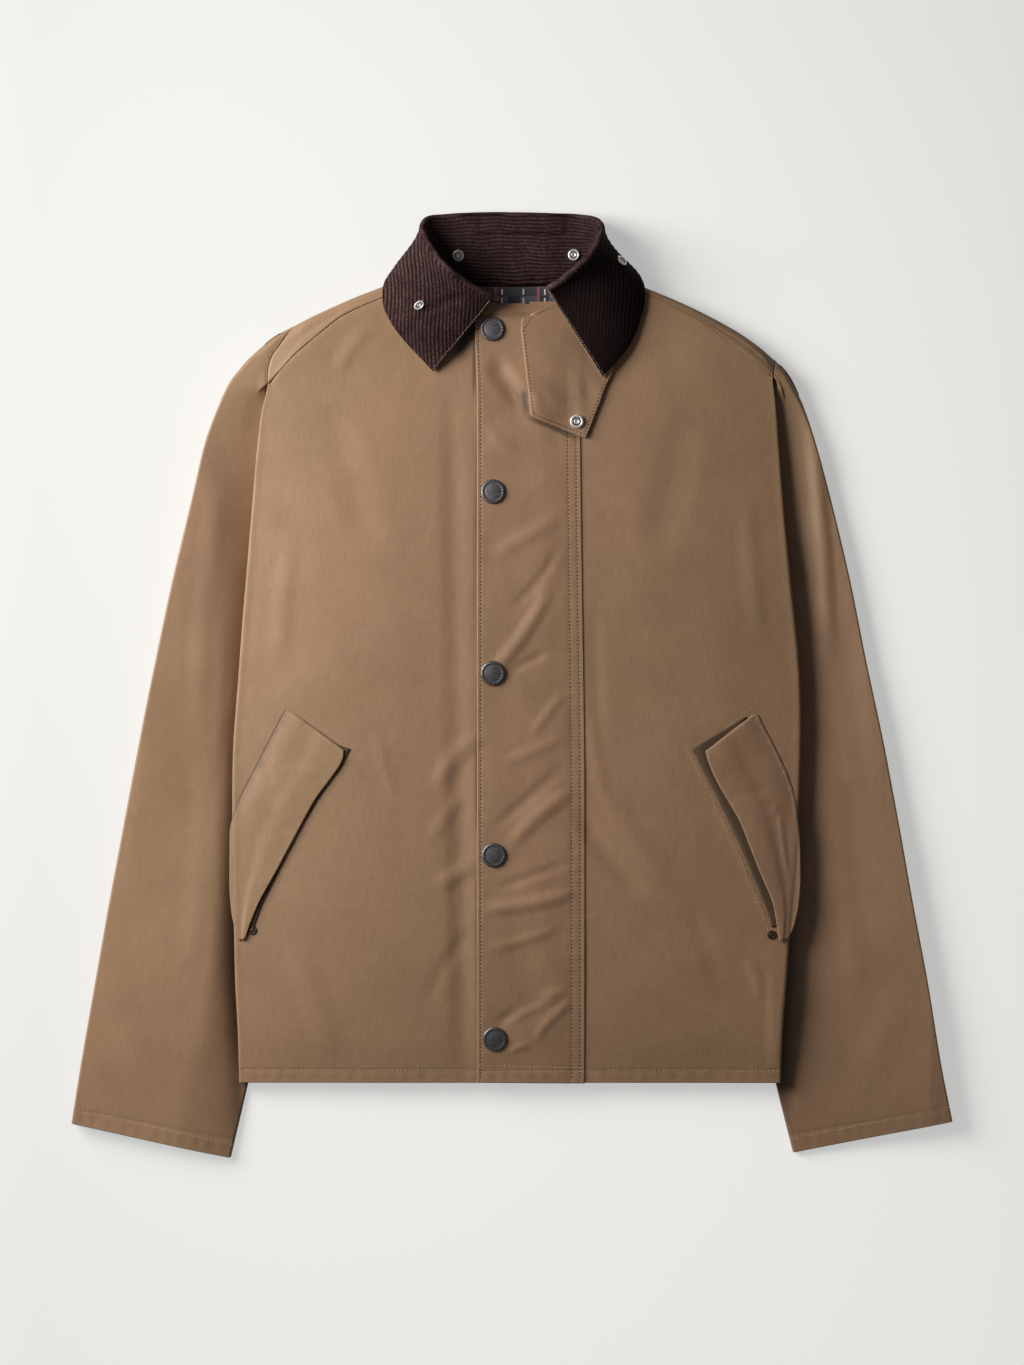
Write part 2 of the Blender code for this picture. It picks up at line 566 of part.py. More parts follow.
# ---------------------------------------------------------------- fronts
ROWS_BELOW, ROWS_ABOVE = np.linspace(0.0, 1.0, 14), np.linspace(0.0, 1.0, 13)  # of the underarm
SIDE_FOLD_ANGLES = (35.0, 70.0, 110.0, 145.0, 180.0)
LEAST_TURN_UNDER = 1.5
UNDERARM_CLOSING, UNDERARM_OPENS = 0.08, 40.0  # the turned-under rows close up at the underarm
SIDE_SEAM_GAP = SEAM_GAP + 0.2
CREST_INSIDE = 0.8  # the front drops to the floor this far inside the sleeve's inner edge
FOOT_LENGTH, FOOT_LIFT = 2.0, 0.15  # its last strip beside the side seam, nearly level


def front_rows(top_y):
    """Shares of the height of each row, closer together at the underarm."""
    low, high = SIDE_SEAM[-1][0], UNDERARM_Y + 1.0
    heights = np.concatenate([blend(HEM_Y, low, ROWS_BELOW), blend(high, top_y, ROWS_ABOVE)])
    return (heights - HEM_Y) / (top_y - HEM_Y)


def turned_under(side, y, edge_x):
    """The turned-under part at y: from the side fold in to the side seam or the armhole."""
    radius = lookup(HEIGHTS, y, 2)
    floor = lying_height(y) + LYING_GAP
    start = edge_x - radius
    if y >= UNDERARM_Y:
        top_x, top_y = FORWARD_SEAM[side][-1]
        armhole = list(FRONT_ARMHOLE[side]) + [(UNDERARM_Y, UNDERARM_X + 1.0), (top_y, top_x)]
        end = min(lookup(armhole, y), start - LEAST_TURN_UNDER)
        closing = blend(UNDERARM_CLOSING, 1.0, ease((y - UNDERARM_Y) / UNDERARM_OPENS))
        shares = [0.6] + [share * closing for share in (0.25, 0.12, 0.05, 0.0)]
        return [(blend(end, start, share), floor) for share in shares]
    end = lookup(SIDE_SEAM, y) + SIDE_SEAM_GAP
    inner = np.array(SLEEVE_INNER[side])
    crest = np.interp(-y, -inner[:, 1], inner[:, 0]) - CREST_INSIDE
    foot = end + FOOT_LENGTH
    return [
        (blend(start, crest, 0.5), floor), (crest, floor), (blend(crest, foot, 0.5), floor * 0.5),
        (foot, FOOT_LIFT), (end, 0.0),
    ]


def make_front(side):
    seam = list(FORWARD_SEAM[side])
    opening = SIDE_SIGN[side] * FRONT_OPENING_X[side]
    neck = list(FRONT_NECK[side])
    first = (opening, lookup([(-60.0, 319.0)] + neck, opening))
    corner_y = seam[-1][1] - SEAM_GAP
    corner_x = lookup(SIDE_EDGE[side], corner_y) - lookup(HEIGHTS, corner_y, 2)
    top = np.array([first] + neck + seam[:-1] + [(corner_x, corner_y)])
    shares = (top[:, 0] - opening) / (top[-1, 0] - opening)
    rows = []
    for height in front_rows(top[-1, 1]):
        y = blend(HEM_Y, top[-1, 1], height)
        radius = lookup(HEIGHTS, y, 2)
        edge_x = lookup(SIDE_EDGE[side], y)
        row = []
        for share, (_, top_y) in zip(shares, top):
            x = blend(opening, edge_x - radius, share)
            point_y = blend(HEM_Y, top_y - SEAM_GAP / 2.0, height)
            row.append((x, point_y, front_height(side, x, point_y)))
        side_y = row[-1][1]
        centre_z = row[-1][2] - radius
        low = lying_height(y) + LYING_GAP
        for angle in SIDE_FOLD_ANGLES:
            turn = math.radians(angle)
            level = max(centre_z + radius * math.cos(turn), low)
            row.append((edge_x - radius + radius * math.sin(turn), side_y, level if angle < 180.0 else low))
        row += [(x, side_y, z) for x, z in turned_under(side, y, edge_x)]
        rows.append(row)
    points = mirrored(side, rows)
    faces = facing_out(side, grid_quads(len(rows), len(rows[0])))
    return add_cloth("front_" + side, "waxed_cotton", points.reshape(-1, 3), faces)


# ---------------------------------------------------------------- sleeves
SLEEVE_RINGS = 21
OUTER_STEPS = (0.0, 1.4, 4.4, 9.5, 17.0)  # distances in from the outer edge, on top
INNER_STEPS = (2.6, 0.8)  # distances in from the inner edge, on top and underneath
SHOULDER_ROLL = SEAM_GAP + 0.5  # the sleeve's seam over the shoulder rolls outwards a little
INNER_EDGE_LIFT, OUTER_EDGE_LIFT = 0.7, 0.9  # of the underside's first point inside each edge
HEAD_PILLOW = 9.0  # the pillow's width at the sleeve's head


def flat_section(outer, inner, top_count, under_count):
    """A flattened tube's points in plan, from the outer edge over the top to the inner edge and back."""
    length = np.linalg.norm(inner - outer)
    middle = np.linspace(OUTER_STEPS[-1], length - INNER_STEPS[0], top_count - len(OUTER_STEPS) - 1)[1:-1]
    top = list(OUTER_STEPS) + list(middle) + [length - step for step in INNER_STEPS] + [length]
    radius = SLEEVE_EDGE_RADIUS
    under = [length - step for step in reversed(INNER_STEPS)]
    under += list(np.linspace(length - INNER_STEPS[0], radius, under_count - 2))[1:]
    under += [radius * 0.3]
    steps = np.array(top + under)
    return outer + (inner - outer) * (steps / length)[:, None]


def armhole_loop(side):
    """The sleeve's edge round the armhole, in the order of a section's points: top, underarm, underneath."""
    over = list(SHOULDER_ARMHOLE[side][2:])
    hidden = [(distance, y, sleeve_under(y)) for y, distance in FRONT_ARMHOLE[side]]
    under = [(distance, y, 0.0) for y, distance in BACK_ARMHOLE[side]]
    loop = over + hidden + [(UNDERARM_X + 0.6, UNDERARM_Y, SLEEVE_UNDER / 2.0)]
    loop += under + [SHOULDER_ARMHOLE[side][0], SHOULDER_ARMHOLE[side][1]]
    gaps = [SHOULDER_ROLL] * len(over) + [SEAM_GAP] * (len(loop) - len(over))
    moved = [(x + gap, y, z) for gap, (x, y, z) in zip(gaps, loop)]
    return np.array(moved), len(over) + len(hidden) + 1


def make_sleeve(side):
    loop, top_count = armhole_loop(side)
    under_count = len(loop) - top_count
    rings = []
    from_edge = np.array([min(index, len(loop) - index) for index in range(len(loop))])
    # How far down the sleeve each point keeps to the armhole's curve.
    fade = blend(0.09, 0.42, ease(from_edge / 6.0))
    for reached in np.linspace(0.0, 1.0, SLEEVE_RINGS):
        outer = along(SLEEVE_OUTER[side], reached)
        inner = along(SLEEVE_INNER[side], 0.12 * reached + 0.88 * reached**2.4)
        plan = flat_section(outer, inner, top_count, under_count)
        if not rings:
            start_plan = plan
        hold = (1.0 - ease(reached / fade)) ** 1.3
        plan = plan + (loop[:, :2] - start_plan) * hold[:, None]
        pillow = blend(HEAD_PILLOW, SLEEVE_PILLOW, ease(reached / 0.14))
        ring = []
        for index, (x, y) in enumerate(plan):
            if index == 0:
                z = blend(SHOULDER_FOLD_RADIUS, SLEEVE_EDGE_RADIUS, ease(reached / 0.12))
            elif index < top_count - 1:
                z = sleeve_height(side, x, y, pillow)
            elif index == top_count - 1:
                z = SLEEVE_UNDER / 2.0
            elif index == top_count:
                z = INNER_EDGE_LIFT
            elif index == len(plan) - 1:
                z = OUTER_EDGE_LIFT
            else:
                z = 0.0
            ring.append((x, y, z))
        rings.append(ring)
    rings[0] = [tuple(point) for point in loop]
    points = mirrored(side, rings)
    faces = facing_out(side, grid_quads(len(rings), len(rings[0]), closed=True))
    return add_cloth("sleeve_" + side, "waxed_cotton", points.reshape(-1, 3), faces)


# ---------------------------------------------------------------- pieces that lie on the fronts
LAID_GAP = 0.5  # under the flaps and the latch
STORM_FLAP_SHORT = 3.0  # the flap ends this far above the hem
STORM_FLAP_LOOSE = 30.0  # its free edge waves a little, this far in


def add_laid(name, look, grid, under, gap, thickness, lift=None, creases=(), reach=4.0):
    """A flat piece laid on others: rows of (x, y) points, each as high as what is under it."""
    grid = np.array(grid, float)
    rows, columns = grid.shape[:2]
    lower = np.zeros((rows, columns, 3))
    for row in range(rows):
        for column in range(columns):
            x, y = grid[row, column]
            z = resting_height(under, x, y, reach) + gap + crease_height(creases, x, y)
            if lift is not None:
                z += lift[row][column]
            lower[row, column] = (x, y, z)
    flat = lower.reshape(-1, 3)
    faces = grid_quads(rows, columns)
    normals = vertex_normals(flat, faces)
    if normals[:, 2].mean() < 0.0:
        faces = [tuple(reversed(face)) for face in faces]
        normals = -normals
    upper = flat + normals * thickness
    count = len(flat)
    walls = [tuple(index + count for index in face) for face in faces]
    walls += [tuple(reversed(face)) for face in faces]
    walls += [(a, b, b + count, a + count) for a, b in open_edges(faces)]
    return add_piece(name, look, np.concatenate([flat, upper]), walls)


def make_storm_flap():
    """The doubled flap from its sewn edge over the opening to its free edge, turning down at the neck."""
    top = [310.0, STORM_FLAP_TOP_Y - 4.0, STORM_FLAP_TOP_Y]
    ys = np.concatenate([np.linspace(HEM_Y + STORM_FLAP_SHORT, 300.0, 30), top])
    xs = np.linspace(STORM_FLAP_LEFT_X, STORM_FLAP_RIGHT_X, 12)
    grid = [[(x, min(y, STORM_FLAP_TOP_Y - 2.5 + 0.03 * abs(x))) for x in xs] for y in ys]
    lift = []
    for y in ys:
        wave = 0.5 * math.sin(y / 43.0) + 0.35 * math.sin(y / 19.0 + 1.0)
        shares = [max(0.0, 1.0 - (x - xs[0]) / STORM_FLAP_LOOSE) for x in xs]
        lift.append([max(0.0, (0.6 + wave) * share) for share in shares])
    fronts = ("front_right", "front_left")
    return add_laid(
        "storm_flap", "waxed_cotton", grid, fronts, LAID_GAP, FLAP_CLOTH, lift, FLAP_CREASES
    )


def make_pocket(side):
    """The flap over the slanted pocket, and the facing in its mouth."""
    sign = SIDE_SIGN[side]
    panel = "front_" + side
    facing = []
    for mouth_x, mouth_y, hidden_x, hidden_y in POCKET_FACING[side]:
        ends = np.array([mouth_x * sign, mouth_y]), np.array([hidden_x * sign, hidden_y])
        facing.append([blend(*ends, share) for share in (0.0, 0.5, 1.0)])
    add_laid("pocket_facing_" + side, "dark_facing", facing, (panel,), LYING_GAP, FACING_CLOTH, reach=2.0)
    shares = np.linspace(0.0, 1.0, 6)
    grid, lift = [], []
    for outer_x, outer_y, free_x, free_y, raised in POCKET_FLAP[side]:
        ends = np.array([outer_x * sign, outer_y]), np.array([free_x * sign, free_y])
        grid.append([blend(*ends, share) for share in shares])
        lift.append([raised * ease(share) for share in shares])
    under = (panel, "pocket_facing_" + side)
    return add_laid("pocket_flap_" + side, "waxed_cotton", grid, under, LAID_GAP, FLAP_CLOTH, lift, reach=2.5)


def make_latch():
    grid = []
    for left_x, left_y, right_x, right_y in THROAT_LATCH:
        ends = np.array([left_x, left_y]), np.array([right_x, right_y])
        grid.append([blend(*ends, share) for share in np.linspace(0.0, 1.0, 8)])
    under = ("front_left", "front_right", "storm_flap")
    return add_laid("throat_latch", "waxed_cotton", grid, under, LAID_GAP, LATCH_CLOTH, reach=5.0)


def make_lining():
    grid = [[(x, y) for x in LINING_COLUMNS] for y in LINING_ROWS]
    return add_laid("neck_lining", "check_lining", grid, ("back",), SEAM_GAP, LINING_CLOTH, reach=0.0)


# ---------------------------------------------------------------- collar
def bezier(a, b, c, d, shares):
    """Points of a cubic curve with the four given control points."""
    t = np.array(shares)[:, None]
    return a * (1 - t) ** 3 + 3 * b * t * (1 - t) ** 2 + 3 * c * t**2 * (1 - t) + d * t**3


def collar_section(row, leaning):
    """The under side of the collar at one section: the stand's, the roll's and the fall's points."""
    neck, roll, edge = np.array(row[0:3]), np.array(row[3:6]), np.array(row[6:9])
    lean, side, droop, turn, rise, crown = row[9:15]
    up = np.array([0.0, math.sin(math.radians(lean)), math.cos(math.radians(lean))])
    flat = math.cos(math.radians(droop))
    heading_side = math.radians(side)
    out = np.array([
        math.cos(heading_side) * flat, math.sin(heading_side) * flat, -math.sin(math.radians(droop)),
    ])
    out -= up * (out @ up)
    out /= np.linalg.norm(out)
    radius = COLLAR_ROLL_RADIUS + COLLAR_ROLL_LOOSE * leaning
    centre = roll - up * radius
    start = centre - out * radius
    end_turn = math.radians(turn)
    end = centre + radius * (math.sin(end_turn) * out + math.cos(end_turn) * up)
    heading = math.cos(end_turn) * out - math.sin(end_turn) * up
    stand_length = np.linalg.norm(start - neck)
    fall_length = np.linalg.norm(edge - end)

    lifted = neck + np.array([0.0, 0.0, rise])
    upright = start - up * stand_length * 0.35
    stand = bezier(neck, lifted, upright, start, np.linspace(0.0, 1.0, 2 * STAND_WALES + 1))
    turns = np.radians(np.linspace(-90.0, turn, 6))[1:-1]
    bend = [centre + radius * (math.sin(angle) * out + math.cos(angle) * up) for angle in turns]
    lead = edge + (end - edge) * 0.35 + np.array([0.0, 0.0, crown])
    hanging = end + heading * fall_length * 0.25
    fall = bezier(end, hanging, lead, edge, np.linspace(0.0, 1.0, 2 * FALL_WALES + 1))
    return np.concatenate([stand, bend, fall])


def make_collar():
    """Under side and corduroy side; every second row of the corduroy side is a wale's ridge."""
    sections = []
    for row in COLLAR_SECTIONS:
        leaning = 1.0 - ease(row[9] / 60.0)
        sections.append(collar_section(row, leaning))
    under = np.array(sections)
    columns, rows = under.shape[:2]
    faces = grid_quads(columns, rows)
    flat = under.reshape(-1, 3)
    normals = vertex_normals(flat, faces)
    middle = (columns // 2) * rows
    if normals[middle + 2][2] < 0.0:
        faces = [tuple(reversed(face)) for face in faces]
        normals = -normals
    ridge = np.array([WALE_HEIGHT if row % 2 else 0.0 for row in range(rows)])
    raised = (COLLAR_CLOTH + np.tile(ridge, columns))[:, None]
    face_side = flat + normals * raised
    roll_rows = range(2 * STAND_WALES, 2 * STAND_WALES + 6)
    kept = [row for row in range(rows) if row % 4 == 0 or row == rows - 1 or row in roll_rows]
    lower = under[:, kept].reshape(-1, 3)
    count, width = len(flat), len(kept)
    walls = [tuple(face) for face in faces]
    flipped = faces[0] != grid_quads(columns, rows)[0]
    for face in grid_quads(columns, width):
        placed = tuple(index + count for index in face)
        walls.append(placed if flipped else tuple(reversed(placed)))
    taken = {(face[i], face[(i + 1) % len(face)]) for face in walls for i in range(len(face))}
    rims = []
    for column in (0, columns - 1):
        for step in range(width - 1):
            top = [column * rows + row for row in range(kept[step], kept[step + 1] + 1)]
            low = [count + column * width + step, count + column * width + step + 1]
            rims += [(a, b, low[0]) for a, b in zip(top[:-1], top[1:])]
            rims.append((low[0], low[1], top[-1]))
    for place, low_place in ((0, 0), (rows - 1, width - 1)):
        for column in range(columns - 1):
            a, b = column * rows + place, (column + 1) * rows + place
            c, d = count + (column + 1) * width + low_place, count + column * width + low_place
            rims.append((a, b, c, d))
    walls += [face[::-1] if face[:2] in taken else face for face in rims]
    return add_piece("collar", "corduroy", np.concatenate([face_side, lower]), walls)


# ---------------------------------------------------------------- snaps and rivets
# Profiles of turned caps: share of the radius, share of the height.
CAP_PROFILE = (
    (0.0, 0.0), (0.94, 0.0), (1.0, 0.22), (0.97, 0.55), (0.84, 0.86), (0.72, 0.78), (0.66, 0.8), (0.4, 0.96),
    (0.0, 1.0),
)
RING_PROFILE = ((0.0, 0.0), (0.95, 0.0), (1.0, 0.4), (0.9, 0.95), (0.62, 0.9), (0.52, 0.35), (0.0, 0.3))
SMALL_PROFILE = ((0.0, 0.0), (0.94, 0.0), (1.0, 0.4), (0.8, 0.85), (0.0, 1.0))


def add_cap(name, look, foot, axis, diameter, height, profile=CAP_PROFILE, segments=20):
    """A turned cap standing on a surface: its foot's centre, the surface's normal and its profile."""
    axis = Vector(axis).normalized()
    across = axis.orthogonal().normalized()
    beside = axis.cross(across)
    points = [Vector(foot)]
    for share, level in profile[1:-1]:
        for step in range(segments):
            angle = 2.0 * math.pi * step / segments
            radial = across * math.cos(angle) + beside * math.sin(angle)
            points.append(Vector(foot) + radial * (share * diameter / 2.0) + axis * (level * height))
    points.append(Vector(foot) + axis * height)
    rings = len(profile) - 2
    faces = []
    for step in range(segments):
        beside_step = (step + 1) % segments
        faces.append((0, 1 + beside_step, 1 + step))
        for ring in range(rings - 1):
            low, high = 1 + ring * segments, 1 + (ring + 1) * segments
            faces.append((low + step, low + beside_step, high + beside_step, high + step))
        last = 1 + (rings - 1) * segments
        faces.append((last + step, last + beside_step, len(points) - 1))
    return add_piece(name, look, np.array([tuple(point) for point in points]), faces)


def add_standing_cap(name, look, under, place, diameter, height, **shape):
    foot = resting_height(under, *place, reach=diameter / 2.0) + SEAM_GAP
    return add_cap(name, look, (*place, foot), (0.0, 0.0, 1.0), diameter, height, **shape)


def add_tilted_cap(name, look, on, start, direction, diameter, height, **shape):
    """A cap on a sloping surface: square to its mean slope, clear of its highest point under the cap."""
    ray = Vector(direction).normalized()
    across = ray.orthogonal().normalized()
    beside = ray.cross(across)
    places, slope = [], Vector((0.0, 0.0, 0.0))
    for step in range(9):
        angle = 2.0 * math.pi * step / 8
        spread = 0.0 if step == 8 else diameter * 0.45
        offset = (across * math.cos(angle) + beside * math.sin(angle)) * spread
        place, normal = lying_pieces[on].ray_cast(Vector(start) + offset, ray)[:2]
        if place:
            places.append(place)
            slope += normal if normal.dot(ray) < 0.0 else -normal
    axis = slope.normalized()
    centre = lying_pieces[on].ray_cast(Vector(start), ray)[0]
    highest = max((place - centre).dot(axis) for place in places)
    return add_cap(name, look, centre + axis * (highest + SEAM_GAP), axis, diameter, height, **shape)


make_back()
make_front("right")
make_front("left")
make_sleeve("right")
make_sleeve("left")
make_lining()
make_storm_flap()
make_latch()
make_pocket("right")
make_pocket("left")
make_collar()

DOWN = (0.0, 0.0, -1.0)
HIGH = 90.0  # above every piece
for number, spot in enumerate(SNAP_PLACES, start=1):
    add_standing_cap(f"snap_{number}", "gunmetal", ("storm_flap",), spot, SNAP_DIAMETER, SNAP_HEIGHT)
add_standing_cap(
    "latch_snap", "bright_nickel", ("throat_latch",), LATCH_SNAP_PLACE, LATCH_SNAP_DIAMETER,
    SNAP_SMALL_HEIGHT, segments=16,
)
for side in ("right", "left"):
    rivet_x, rivet_y = RIVET_PLACE[side]
    add_tilted_cap(
        "pocket_rivet_" + side, "gunmetal", "pocket_flap_" + side,
        (SIDE_SIGN[side] * rivet_x, rivet_y, HIGH), DOWN, RIVET_DIAMETER, RIVET_HEIGHT, profile=SMALL_PROFILE, segments=12,
    )
for name, start, direction in COLLAR_SNAP_PLACES:
    add_tilted_cap(
        name, "gunmetal", "collar", start, direction, COLLAR_SNAP_DIAMETER, COLLAR_SNAP_HEIGHT,
        profile=RING_PROFILE, segments=14,
    )
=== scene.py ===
"""The looks of a waxed cotton jacket that lies buttoned on its back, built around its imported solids.

Each piece of cloth is a thin wall on the form of its own solid. Tables are in millimetres, with the
collar towards +Y and the wearer's left at +X; a side's table holds distances from the centre line.
"""

import json
import math

import bpy
import numpy as np
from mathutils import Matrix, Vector
from mathutils.bvhtree import BVHTree

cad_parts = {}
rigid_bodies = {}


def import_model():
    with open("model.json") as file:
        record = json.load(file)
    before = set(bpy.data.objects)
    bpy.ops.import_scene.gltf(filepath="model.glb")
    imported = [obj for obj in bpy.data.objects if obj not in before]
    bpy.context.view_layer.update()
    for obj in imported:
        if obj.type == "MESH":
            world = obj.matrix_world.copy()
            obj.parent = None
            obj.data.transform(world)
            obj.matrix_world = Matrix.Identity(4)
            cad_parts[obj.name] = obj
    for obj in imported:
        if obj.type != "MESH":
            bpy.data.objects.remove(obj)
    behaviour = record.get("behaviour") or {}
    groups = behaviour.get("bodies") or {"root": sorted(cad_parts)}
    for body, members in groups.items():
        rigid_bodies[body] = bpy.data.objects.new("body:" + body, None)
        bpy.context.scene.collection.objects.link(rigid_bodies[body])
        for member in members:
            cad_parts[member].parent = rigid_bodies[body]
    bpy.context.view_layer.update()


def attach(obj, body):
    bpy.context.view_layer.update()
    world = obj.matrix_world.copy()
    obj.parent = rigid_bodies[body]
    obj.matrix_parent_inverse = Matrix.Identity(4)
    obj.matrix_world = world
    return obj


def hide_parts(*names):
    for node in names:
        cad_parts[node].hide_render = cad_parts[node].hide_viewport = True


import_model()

# ------------------------------------------------------------------------------------------------
# Studio. A pale paper floor under soft light from the upper left, a weak fill from the right, and a
# camera straight above the jacket. The paper glows a little, as an overlit sweep does.
FLOOR_HALF, FLOOR_LEVEL = 4.0, -0.0004
KEY_PLACE = (-1.15, 0.50, 0.76)
LIGHTS = (
    # name, place in m, size, watts, colour
    ("key_light", KEY_PLACE, 0.90, 34.5, (1.0, 0.975, 0.94)),
    ("fill_light", (1.10, -0.60, 1.60), 1.40, 0.4, (0.95, 0.97, 1.0)),
)
STUDIO_COLOUR, STUDIO_STRENGTH = (0.97, 0.98, 1.0, 1.0), 0.09
PAPER_BY_KEY, PAPER_FAR_OFF, PAPER_REACH = (0.300, 0.296, 0.289), (0.700, 0.691, 0.675), 0.4
GLOW_FULL, GLOW_BY_KEY, GLOW_SLOPE = 0.488, -0.144, (-0.129, -0.111, 0.0)
CAMERA_PLACE, CAMERA_LENS, CAMERA_SENSOR = (0.0, 0.0032, 2.719), 85.0, 36.0


def shaded(name, looks):
    """A new material with its tree and its shader, whose sockets hold the given looks."""
    made = bpy.data.materials.new(name)
    made.use_nodes = True
    shader = made.node_tree.nodes["Principled BSDF"]
    for socket, value in looks.items():
        shader.inputs[socket].default_value = value
    return made, made.node_tree, shader


def reckon(tree, kind, first, second):
    """One step of arithmetic in a material's tree; the second value may be a plain number."""
    step = tree.nodes.new("ShaderNodeMath")
    step.operation = kind
    tree.links.new(first, step.inputs[0])
    if isinstance(second, float):
        step.inputs[1].default_value = second
    else:
        tree.links.new(second, step.inputs[1])
    return step.outputs["Value"]


def measure(tree, kind, place, given):
    """The distance, or the dot product, of a place in a material's tree and a given vector."""
    step = tree.nodes.new("ShaderNodeVectorMath")
    step.operation = kind
    step.inputs[1].default_value = given
    tree.links.new(place, step.inputs[0])
    return step.outputs["Value"]


def ramp(tree, source, low, high, start=0.0, end=1.0):
    """A value carried from low and high to start and end, and held between them."""
    made = tree.nodes.new("ShaderNodeMapRange")
    for socket, value in (("From Min", low), ("From Max", high), ("To Min", start), ("To Max", end)):
        made.inputs[socket].default_value = value
    tree.links.new(source, made.inputs["Value"])
    return made.outputs["Result"]


def dyed(tree, share, under, colour, kind="MIX"):
    """A colour laid over another by a share; with kind MULTIPLY it only darkens."""
    layer = tree.nodes.new("ShaderNodeMix")
    layer.data_type = "RGBA"
    layer.blend_type = kind
    tree.links.new(share, layer.inputs["Factor"])
    for socket, value in (("A", under), ("B", colour)):
        slot = [s for s in layer.inputs if s.name == socket and s.type == "RGBA"][0]
        if isinstance(value, tuple):
            slot.default_value = (*value, 1.0)
        else:
            tree.links.new(value, slot)
    return [s for s in layer.outputs if s.type == "RGBA"][0]


scene = bpy.context.scene
for item in list(bpy.data.objects):
    if item.type in ("LIGHT", "CAMERA"):
        bpy.data.objects.remove(item)

floor_mesh = bpy.data.meshes.new("paper_floor")
floor_corners = [(-FLOOR_HALF, -FLOOR_HALF), (FLOOR_HALF, -FLOOR_HALF), (FLOOR_HALF, FLOOR_HALF)]
floor_corners.append((-FLOOR_HALF, FLOOR_HALF))
floor_mesh.from_pydata([(x, y, FLOOR_LEVEL) for x, y in floor_corners], [], [(0, 1, 2, 3)])
paper_floor = bpy.data.objects.new("paper_floor", floor_mesh)
scene.collection.objects.link(paper_floor)
# The sheet is a little greyer on the key light's side and glows most where that light is weak.
paper, tree, shader = shaded("paper", {
    "Roughness": 0.9, "Specular IOR Level": 0.1, "Emission Color": (1.0, 1.005, 0.985, 1.0),
})
place = tree.nodes.new("ShaderNodeTexCoord").outputs["Object"]
split = tree.nodes.new("ShaderNodeSeparateXYZ")
tree.links.new(place, split.inputs["Vector"])
across = ramp(tree, split.outputs["X"], -PAPER_REACH, PAPER_REACH)
tree.links.new(dyed(tree, across, PAPER_BY_KEY, PAPER_FAR_OFF), shader.inputs["Base Color"])
key_light_there = reckon(tree, "POWER", measure(tree, "DISTANCE", place, KEY_PLACE), -4.0)
glow = reckon(tree, "ADD", reckon(tree, "MULTIPLY", key_light_there, GLOW_BY_KEY), GLOW_FULL)
glow = reckon(tree, "ADD", glow, measure(tree, "DOT_PRODUCT", place, GLOW_SLOPE))
tree.links.new(reckon(tree, "MAXIMUM", glow, 0.0), shader.inputs["Emission Strength"])
floor_mesh.materials.append(paper)
paper_floor.visible_diffuse = False

studio = bpy.data.worlds.new("studio")
studio.use_nodes = True
studio.node_tree.nodes["Background"].inputs["Color"].default_value = STUDIO_COLOUR
studio.node_tree.nodes["Background"].inputs["Strength"].default_value = STUDIO_STRENGTH
scene.world = studio

for light_name, light_place, size, watts, colour in LIGHTS:
    lamp = bpy.data.lights.new(light_name, "AREA")
    lamp.size = size
    lamp.energy = watts
    lamp.color = colour
    lamp_object = bpy.data.objects.new(light_name, lamp)
    lamp_object.location = light_place
    lamp_object.rotation_euler = (-Vector(light_place)).to_track_quat("-Z", "Y").to_euler()
    scene.collection.objects.link(lamp_object)

camera_data = bpy.data.cameras.new("camera")
camera_data.lens = CAMERA_LENS
camera_data.sensor_width = CAMERA_SENSOR
camera = bpy.data.objects.new("camera", camera_data)
camera.location = CAMERA_PLACE
scene.collection.objects.link(camera)
scene.camera = camera
scene.view_settings.view_transform = "Standard"

# ------------------------------------------------------------------------------------------------
# Back. One panel of waxed cotton on the floor, carried over each shoulder to a seam that sits
# forward of the fold. Its hem is turned up, and it is sewn to both fronts and both sleeves.
MM = 0.001
CLOTH = 1.3
SEAM_GAP = 0.3
LYING_GAP = 0.4  # between a sleeve and the front that lies on it
HEM_Y = -334.0
MIDDLE = np.array([0.0, -1.55, 0.0])  # the frame's origin, at half the jacket's whole length
UNDERARM_X, UNDERARM_Y = 160.0, -10.0
SHOULDER_FOLD_RADIUS = 8.1
SIDE_FOLD_TOP_Y = 253.0
SHOULDER_CUT = np.array([0.3, 0.7])  # where the shoulders lie on the flat cloth, in metres
FRONT_RISE = 130.0  # how far in from its side fold a front still rises
HEM_STITCH = 10.5  # the hem's stitches, above its edge
STITCH_GROOVE = 0.35
HEM_PUCKER = 0.16
SIDE_SIGN = {"right": -1.0, "left": 1.0}
SIDE_EDGE = {
    # y, distance
    "right": (
        (-345.0, 228.8), (-333.0, 229.1), (-298.0, 230.0), (-248.0, 232.4), (-214.0, 233.2), (-190.0, 233.8),
        (-149.0, 234.4), (-97.0, 234.8), (-63.0, 234.4), (-47.0, 233.8), (-19.0, 231.7), (4.0, 229.9),
        (54.0, 226.2), (104.0, 222.0), (155.0, 217.8), (205.0, 213.2), (230.0, 209.8), (252.0, 204.9),
        (268.0, 204.8), (301.2, 183.4),
    ),
    "left": (
        (-345.0, 225.4), (-333.0, 225.7), (-298.0, 226.6), (-248.0, 230.2), (-210.0, 233.0), (-180.0, 235.2),
        (-150.0, 238.2), (-120.0, 239.8), (-91.0, 241.0), (-62.0, 242.0), (-33.0, 242.4), (-5.0, 242.0),
        (20.0, 240.6), (54.0, 237.4), (88.0, 233.8), (105.0, 232.2), (138.0, 229.0), (188.0, 225.0),
        (239.0, 220.9), (258.0, 218.9), (266.0, 219.8), (273.0, 220.4),
    ),
}
